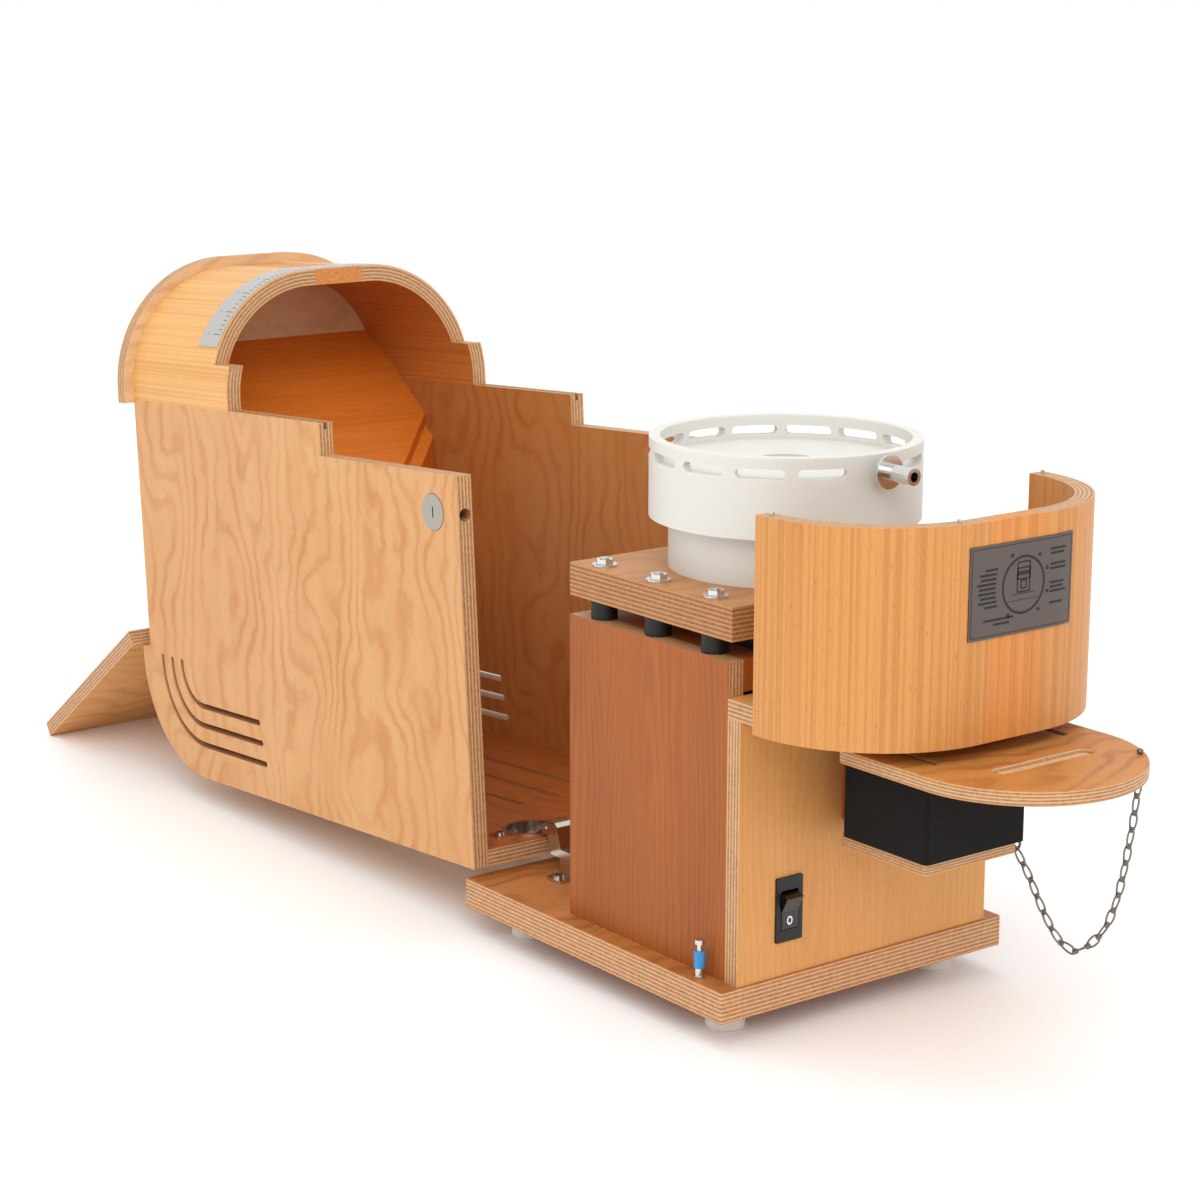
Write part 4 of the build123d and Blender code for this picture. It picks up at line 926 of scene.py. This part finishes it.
@dataclass
class PrintedPlate:
    """The instruction plate's picture and its blocks of plain bars."""

    mill: MillFrame
    clearance: float = 0.86
    frame: tuple[float, float, float, float] = (-36.4, 44.4, 231.2, 282.6)
    centre: tuple[float, float] = (4.5, 258.0)
    bar_high: float = 1.4
    stroke: float = 0.22
    dot_angles: tuple[int, ...] = (118, 52, 22, -18, -52, -125)

    def build(self) -> None:
        """Print a frame, a round picture of a mill, dots and plain bars."""
        ink = NosePrint(self.clearance)
        left, right, low, high = self.frame
        for h in (low, high):
            ink.bar(left, right, h - self.stroke, h + self.stroke)
        for s in (left, right):
            ink.bar(s - self.stroke, s + self.stroke, low, high)
        cx, cy = self.centre
        ink.ring(cx, cy, 17.4, 15.9)
        self._pictogram(ink)
        for angle in np.radians(self.dot_angles):
            ink.ring(cx + 20.5 * math.cos(angle), cy + 20.5 * math.sin(angle), 1.25, 0.0, 20)
        self._bars(ink)
        obj = ink.build("plate_print", self.mill, Rest.STAND, plain_material(INK))
        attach(obj, "mill_stand")

    def _bars(self, ink: NosePrint) -> None:
        """Print the columns of bars left, right and below the picture.

        Args:
            ink: the print to add to.
        """
        rng = np.random.default_rng(4)
        for i in range(9):
            width = 15 - 2.2 * (i in (0, 8)) - rng.uniform(0, 3.0)
            end = -16.5 - 1.5 * math.sin(i * 0.4)
            ink.bar(end - width, end, 269 - 2.7 * i, 269 + self.bar_high - 2.7 * i)
        for h, count in ((275.5, 2), (266.5, 2), (255.5, 3), (243.5, 1)):
            for i in range(count):
                end = 41.5 - rng.uniform(0, 4.5)
                ink.bar(26.2, end, h - 2.6 * i, h + self.bar_high - 2.6 * i)
        for i, width in enumerate((24, 13)):
            start = -27 + i * 8
            ink.bar(start, start + width, 239.5 - 2.8 * i, 239.5 + self.bar_high - 2.8 * i)

    def _pictogram(self, ink: NosePrint) -> None:
        """Print a small mill in outline inside the ring.

        Args:
            ink: the print to add to.
        """
        cx, cy = self.centre
        t = 0.5
        for s0, s1, h0, h1 in (
            (-5.0, 5.0, -4.0, 13.5),
            (-5.0, 5.0, 3.5, 10.0),
            (-2.0, 2.2, -2.0, 2.6),
        ):
            ink.bar(cx + s0, cx + s1, cy + h0 - t, cy + h0 + t)
            ink.bar(cx + s0, cx + s1, cy + h1 - t, cy + h1 + t)
            ink.bar(cx + s0 - t, cx + s0 + t, cy + h0, cy + h1)
            ink.bar(cx + s1 - t, cx + s1 + t, cy + h0, cy + h1)
        ink.bar(cx - 4.2, cx + 4.2, cy + 5.6, cy + 8.2)
        ink.bar(cx - 9.5, cx + 9.5, cy - 5.4, cy - 4.9)
        ink.bar(cx - 12.0, cx + 12.0, cy - 9.0, cy - 8.6)


@dataclass
class AdjustmentScale:
    """Fine to coarse graduations on the strip round the arch."""

    mill: MillFrame
    clearance: float = 0.86
    step: float = 4.0
    ticks_each_side: int = 30
    low: float = 326.5
    short: float = 5.0
    long: float = 10.0
    dots_h: float = 343.5

    def build(self) -> None:
        """Print short and long ticks, and dots that grow from fine to coarse."""
        ink = NosePrint(self.clearance)
        for i in range(-self.ticks_each_side, self.ticks_each_side + 1):
            tall = self.long if i % 5 == 0 else self.short
            ink.bar(i * self.step - 0.3, i * self.step + 0.3, self.low, self.low + tall)
        for i in range(-6, 7):
            ink.ring(i * 5 * self.step, self.dots_h, 0.5 + 0.16 * (i + 6), 0.0, 20)
        obj = ink.build("scale_print", self.mill, Rest.HOUSING, plain_material(SCALE_INK))
        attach(obj, "tilting_housing")


@dataclass
class BufferRubber:
    """Black rubber buffers whose moulded-in studs are zinc steel."""

    mill: MillFrame
    stud_from: float = 233.0

    def paint(self, buffers: bpy.types.Object) -> None:
        """Make everything above the mill plate's top face metal.

        Args:
            buffers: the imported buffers.
        """
        graph = Graph("rubber_and_stud")
        drawn = self.mill.drawn(graph, Rest.STAND)
        height = graph.add("ShaderNodeSeparateXYZ", {0: drawn}).outputs[2]
        stud = graph.math("GREATER_THAN", height, self.stud_from)
        material = graph.finish(
            {
                "Base Color": graph.mix(stud, linear("0E0D0C"), linear("C9C8C5")),
                "Metallic": stud,
                "Roughness": graph.math("MULTIPLY_ADD", stud, -0.35, 0.6),
            }
        )
        set_material(buffers, material)


@dataclass
class RockerMark:
    """The round off mark on the lower half of the rocker."""

    mill: MillFrame
    centre: tuple[float, float, float] = (-64.5, -136.43, 35.4)
    outer: float = 2.25
    inner: float = 1.35
    stretch: float = 1.25
    steps: int = 48

    def build(self) -> None:
        """Lay a ring of (x, h) = centre + r (cos a, stretch sin a) on the flush half."""
        a = np.linspace(0, 2 * math.pi, self.steps + 1)
        radii = np.array([self.outer, self.inner])[:, None]
        x = self.centre[0] + radii * np.cos(a)
        h = self.centre[2] + self.stretch * radii * np.sin(a)
        y = np.full_like(x, self.centre[1])
        points = np.stack([x.ravel(), y.ravel(), h.ravel()], axis=-1)
        i = np.arange(self.steps)
        n = self.steps + 1
        quads = np.stack([i, i + 1, i + 1 + n, i + n], axis=-1)
        verts = self.mill.row(Rest.STAND, points)
        obj = mesh_object("rocker_off_mark", verts, quads, plain_material(PAINT))
        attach(obj, "power_rocker")


@dataclass
class KnottedChain:
    """The chain that keeps the slide: wire ovals whose ends are wound in knots."""

    mill: MillFrame
    links: int = 19
    wire: float = 0.62
    samples: int = 8
    route: tuple[tuple[float, float, float], ...] = (
        (57.0, -303.0, 143.0),
        (55.5, -301.0, 114.5),
        (53.0, -295.0, 72.0),
        (51.0, -285.5, 46.0),
        (48.5, -270.0, 30.6),
        (47.0, -257.5, 31.5),
        (45.5, -245.0, 44.5),
        (44.0, -230.5, 68.0),
        (42.4, -220.5, 82.7),
    )

    def _path(self) -> np.ndarray:
        """Draw the route as a Catmull-Rom curve, sampled evenly by length.

        Between p1 and p2 it is 0.5 (2 p1 + (p2 - p0) t + (2 p0 - 5 p1 + 4 p2
        - p3) t^2 + (3 p1 - p0 - 3 p2 + p3) t^3).

        Returns:
            The sampled points, in drawn millimetres.
        """
        p = np.array(self.route)
        p = np.vstack([2 * p[0] - p[1], p, 2 * p[-1] - p[-2]])
        t = np.linspace(0, 1, 40, endpoint=False)[:, None]
        parts = []
        for p0, p1, p2, p3 in zip(p, p[1:], p[2:], p[3:]):
            parts.append(
                0.5
                * (
                    2 * p1
                    + (p2 - p0) * t
                    + (2 * p0 - 5 * p1 + 4 * p2 - p3) * t**2
                    + (3 * p1 - p0 - 3 * p2 + p3) * t**3
                )
            )
        fine = np.vstack(parts + [p[-2][None]])
        length = np.concatenate([[0], np.cumsum(np.linalg.norm(np.diff(fine, axis=0), axis=1))])
        even = np.linspace(0, length[-1], self.links * self.samples + 1)
        return np.stack([np.interp(even, length, fine[:, k]) for k in range(3)], axis=-1)

    @staticmethod
    def _tube(
        centre: np.ndarray, radius: float, closed: bool, sides: int = 8
    ) -> tuple[np.ndarray, np.ndarray]:
        """Sweep a circle along a line, c + r (cos b n + sin b m) at each point.

        Args:
            centre: points of the line.
            radius: the wire's radius.
            closed: True where the line meets itself, else its ends are capped.
            sides: sides of the circle.

        Returns:
            The vertices and the quads.
        """
        n = len(centre)
        if closed:
            tangent = np.roll(centre, -1, axis=0) - np.roll(centre, 1, axis=0)
        else:
            tangent = np.gradient(centre, axis=0)
        tangent /= np.linalg.norm(tangent, axis=1)[:, None]
        normal = np.zeros_like(tangent)
        seed = np.array([0.0, 0.0, 1.0]) if abs(tangent[0][2]) < 0.9 else np.array([1.0, 0.0, 0.0])
        for i in range(n):
            seed = seed - tangent[i] * np.dot(seed, tangent[i])
            seed = seed / np.linalg.norm(seed)
            normal[i] = seed
        other = np.cross(tangent, normal)
        b = np.linspace(0, 2 * math.pi, sides, endpoint=False)
        ring = (
            centre[:, None]
            + radius * np.cos(b)[None, :, None] * normal[:, None]
            + radius * np.sin(b)[None, :, None] * other[:, None]
        )
        rows = n if closed else n - 1
        i, j = np.meshgrid(np.arange(rows), np.arange(sides), indexing="ij")
        up, right = (i + 1) % n, (j + 1) % sides
        quads = np.stack(
            [i * sides + j, i * sides + right, up * sides + right, up * sides + j], axis=-1
        ).reshape(-1, 4)
        if not closed:
            cap = np.array([[0, 1, 2, 3], [0, 3, 4, 7], [4, 5, 6, 7]])
            quads = np.concatenate([quads, cap[:, ::-1], cap + (n - 1) * sides])
        return ring.reshape(-1, 3), quads

    def build(self) -> None:
        """Sweep each oval and its knot, and hide the imported chain."""
        path = self._path()
        verts: list[np.ndarray] = []
        faces: list[np.ndarray] = []
        total = 0
        pitch = np.linalg.norm(np.diff(path, axis=0), axis=1).sum() / self.links
        for i in range(self.links):
            middle = i * self.samples + self.samples // 2
            centre = path[middle]
            along = path[middle + 1] - path[middle - 1]
            along /= np.linalg.norm(along)
            wide = np.cross(along, [1.0, 0.0, 0.0])
            wide /= np.linalg.norm(wide)
            flat = np.cross(along, wide)
            if i % 2:
                wide, flat = flat, wide
            for line, closed in self._link(pitch):
                local = centre + line[:, :1] * along + line[:, 1:2] * wide + line[:, 2:3] * flat
                v, f = self._tube(local, self.wire, closed)
                verts.append(v)
                faces.append(f + total)
                total += len(v)
        points = self.mill.row(Rest.STAND, np.concatenate(verts))
        obj = mesh_object(
            "knotted_chain", points, np.concatenate(faces), plain_material(CHAIN_STEEL), True
        )
        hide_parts("chain")
        ends = self.mill.row(Rest.STAND, np.array([self.route[-1], self.route[0]]))
        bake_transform(obj)

    def _link(self, pitch: float) -> list[tuple[np.ndarray, bool]]:
        """Shape one link: an oval (a cos t, b sin t), and a coil round its neck.

        The coil is (c + k t, r cos t, r sin t) for two and a half turns.

        Args:
            pitch: the length that each link takes up.

        Returns:
            Each wire's points, and whether it is closed.
        """
        half = pitch / 2 + self.wire + 0.25
        t = np.linspace(0, 2 * math.pi, 28, endpoint=False)
        squeeze = 2.45 * np.sin(t) * (1 - 0.25 * np.cos(t))
        oval = np.stack([half * np.cos(t), squeeze, 0 * t], axis=-1)
        c = np.linspace(0, 5 * math.pi, 30)
        coil = np.stack([half * 0.52 + 0.2 * c, 1.25 * np.cos(c), 1.25 * np.sin(c)], axis=-1)
        return [(oval, True), (coil, False)]


# ------------------------------------------------------------------ studio
@dataclass(frozen=True)
class Softbox:
    """One square area light aimed at a point."""

    name: str
    place: tuple[float, float, float]
    aim: tuple[float, float, float]
    size: float
    power: float


@dataclass
class Studio:
    """Floor, lights and camera."""

    mill: MillFrame

    SOFTBOXES = (
        Softbox("key", (-1.9, -2.3, 2.5), (0, 0, 0.2), 2.2, 40.0),
        Softbox("front_fill", (1.6, -2.4, 1.4), (0, -0.1, 0.25), 2.0, 3.0),
        Softbox("top", (0.0, 0.2, 3.0), (0, 0, 0.2), 3.0, 16.0),
    )
    EYE = (-1132.3, -1352.7, 607.6)
    AMBIENT = 1.02
    FLOOR_HALF = 60.0
    YAW = 37.161
    PITCH = 12.9585
    ROLL = 0.074
    LENS = 83.5

    def build(self) -> None:
        """Lay the floor, hang the lights, set the camera."""
        self._floor()
        for box in self.SOFTBOXES:
            self._softbox(box)
        world = bpy.data.worlds.new("studio")
        bpy.context.scene.world = world
        world.use_nodes = True
        world.node_tree.nodes["Background"].inputs[0].default_value = linear("FFFFFF")
        world.node_tree.nodes["Background"].inputs[1].default_value = self.AMBIENT
        bpy.context.scene.view_settings.view_transform = "Standard"
        self._camera()

    def _floor(self) -> None:
        """A wide pale floor at the height of the feet."""
        size = self.FLOOR_HALF
        verts = np.array([[-size, -size, 0], [size, -size, 0], [size, size, 0], [-size, size, 0]])
        floor = mesh_object("studio_floor", verts, np.array([[0, 1, 2, 3]]), plain_material(FLOOR))
        floor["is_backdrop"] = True

    @staticmethod
    def _softbox(box: Softbox) -> None:
        """Hang one area light.

        Args:
            box: its place, aim, size and power.
        """
        lamp = bpy.data.lights.new(box.name, "AREA")
        lamp.shape = "SQUARE"
        lamp.size = box.size
        lamp.energy = box.power
        obj = bpy.data.objects.new(box.name, lamp)
        bpy.context.scene.collection.objects.link(obj)
        obj.location = box.place
        aim = Vector(box.aim) - Vector(box.place)
        obj.rotation_euler = aim.to_track_quat("-Z", "Y").to_euler()
        obj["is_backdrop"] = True

    def _camera(self) -> None:
        """A long lens from the front left, a little above the mill."""
        data = bpy.data.cameras.new("camera")
        data.sensor_width = 36.0
        data.lens = self.LENS
        data.clip_end = 200.0
        obj = bpy.data.objects.new("camera", data)
        bpy.context.scene.collection.objects.link(obj)
        obj.location = self.mill.row(Rest.STAND, np.array([self.EYE]))[0]
        turn = Euler((math.radians(90 - self.PITCH), 0, math.radians(-self.YAW)), "XYZ")
        roll = Matrix.Rotation(math.radians(self.ROLL), 3, "Z")
        obj.rotation_euler = (turn.to_matrix() @ roll).to_euler()
        bpy.context.scene.camera = obj


# ------------------------------------------------------------------ assembly
class GrainMill:
    """The whole scene, one step for each sub-assembly."""

    def __init__(self) -> None:
        """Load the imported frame."""
        self.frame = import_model()
        self.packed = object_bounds()
        self.mill = MillFrame(self.frame["record"])

    def build(self) -> None:
        """Paint the nodes and add the pieces that only show."""
        nodes = self.frame["nodes"]
        Joinery(self.mill, nodes).paint(BOARDS)
        for finish, names in FINISHES.items():
            material = plain_material(finish)
            for name in names:
                set_material(nodes[name], material)
        BufferRubber(self.mill).paint(nodes["rubber_buffers"])
        for piece in (PrintedPlate, AdjustmentScale, RockerMark, KnottedChain, Studio):
            piece(self.mill).build()
            LOG.info("%s built", piece.__name__)
        self._write_size()

    def _write_size(self) -> None:
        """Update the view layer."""
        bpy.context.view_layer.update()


def main() -> None:
    """Build the mill's classes in order."""
    logging.basicConfig(level=logging.INFO)
    GrainMill().build()


if __name__ == "__main__":
    main()
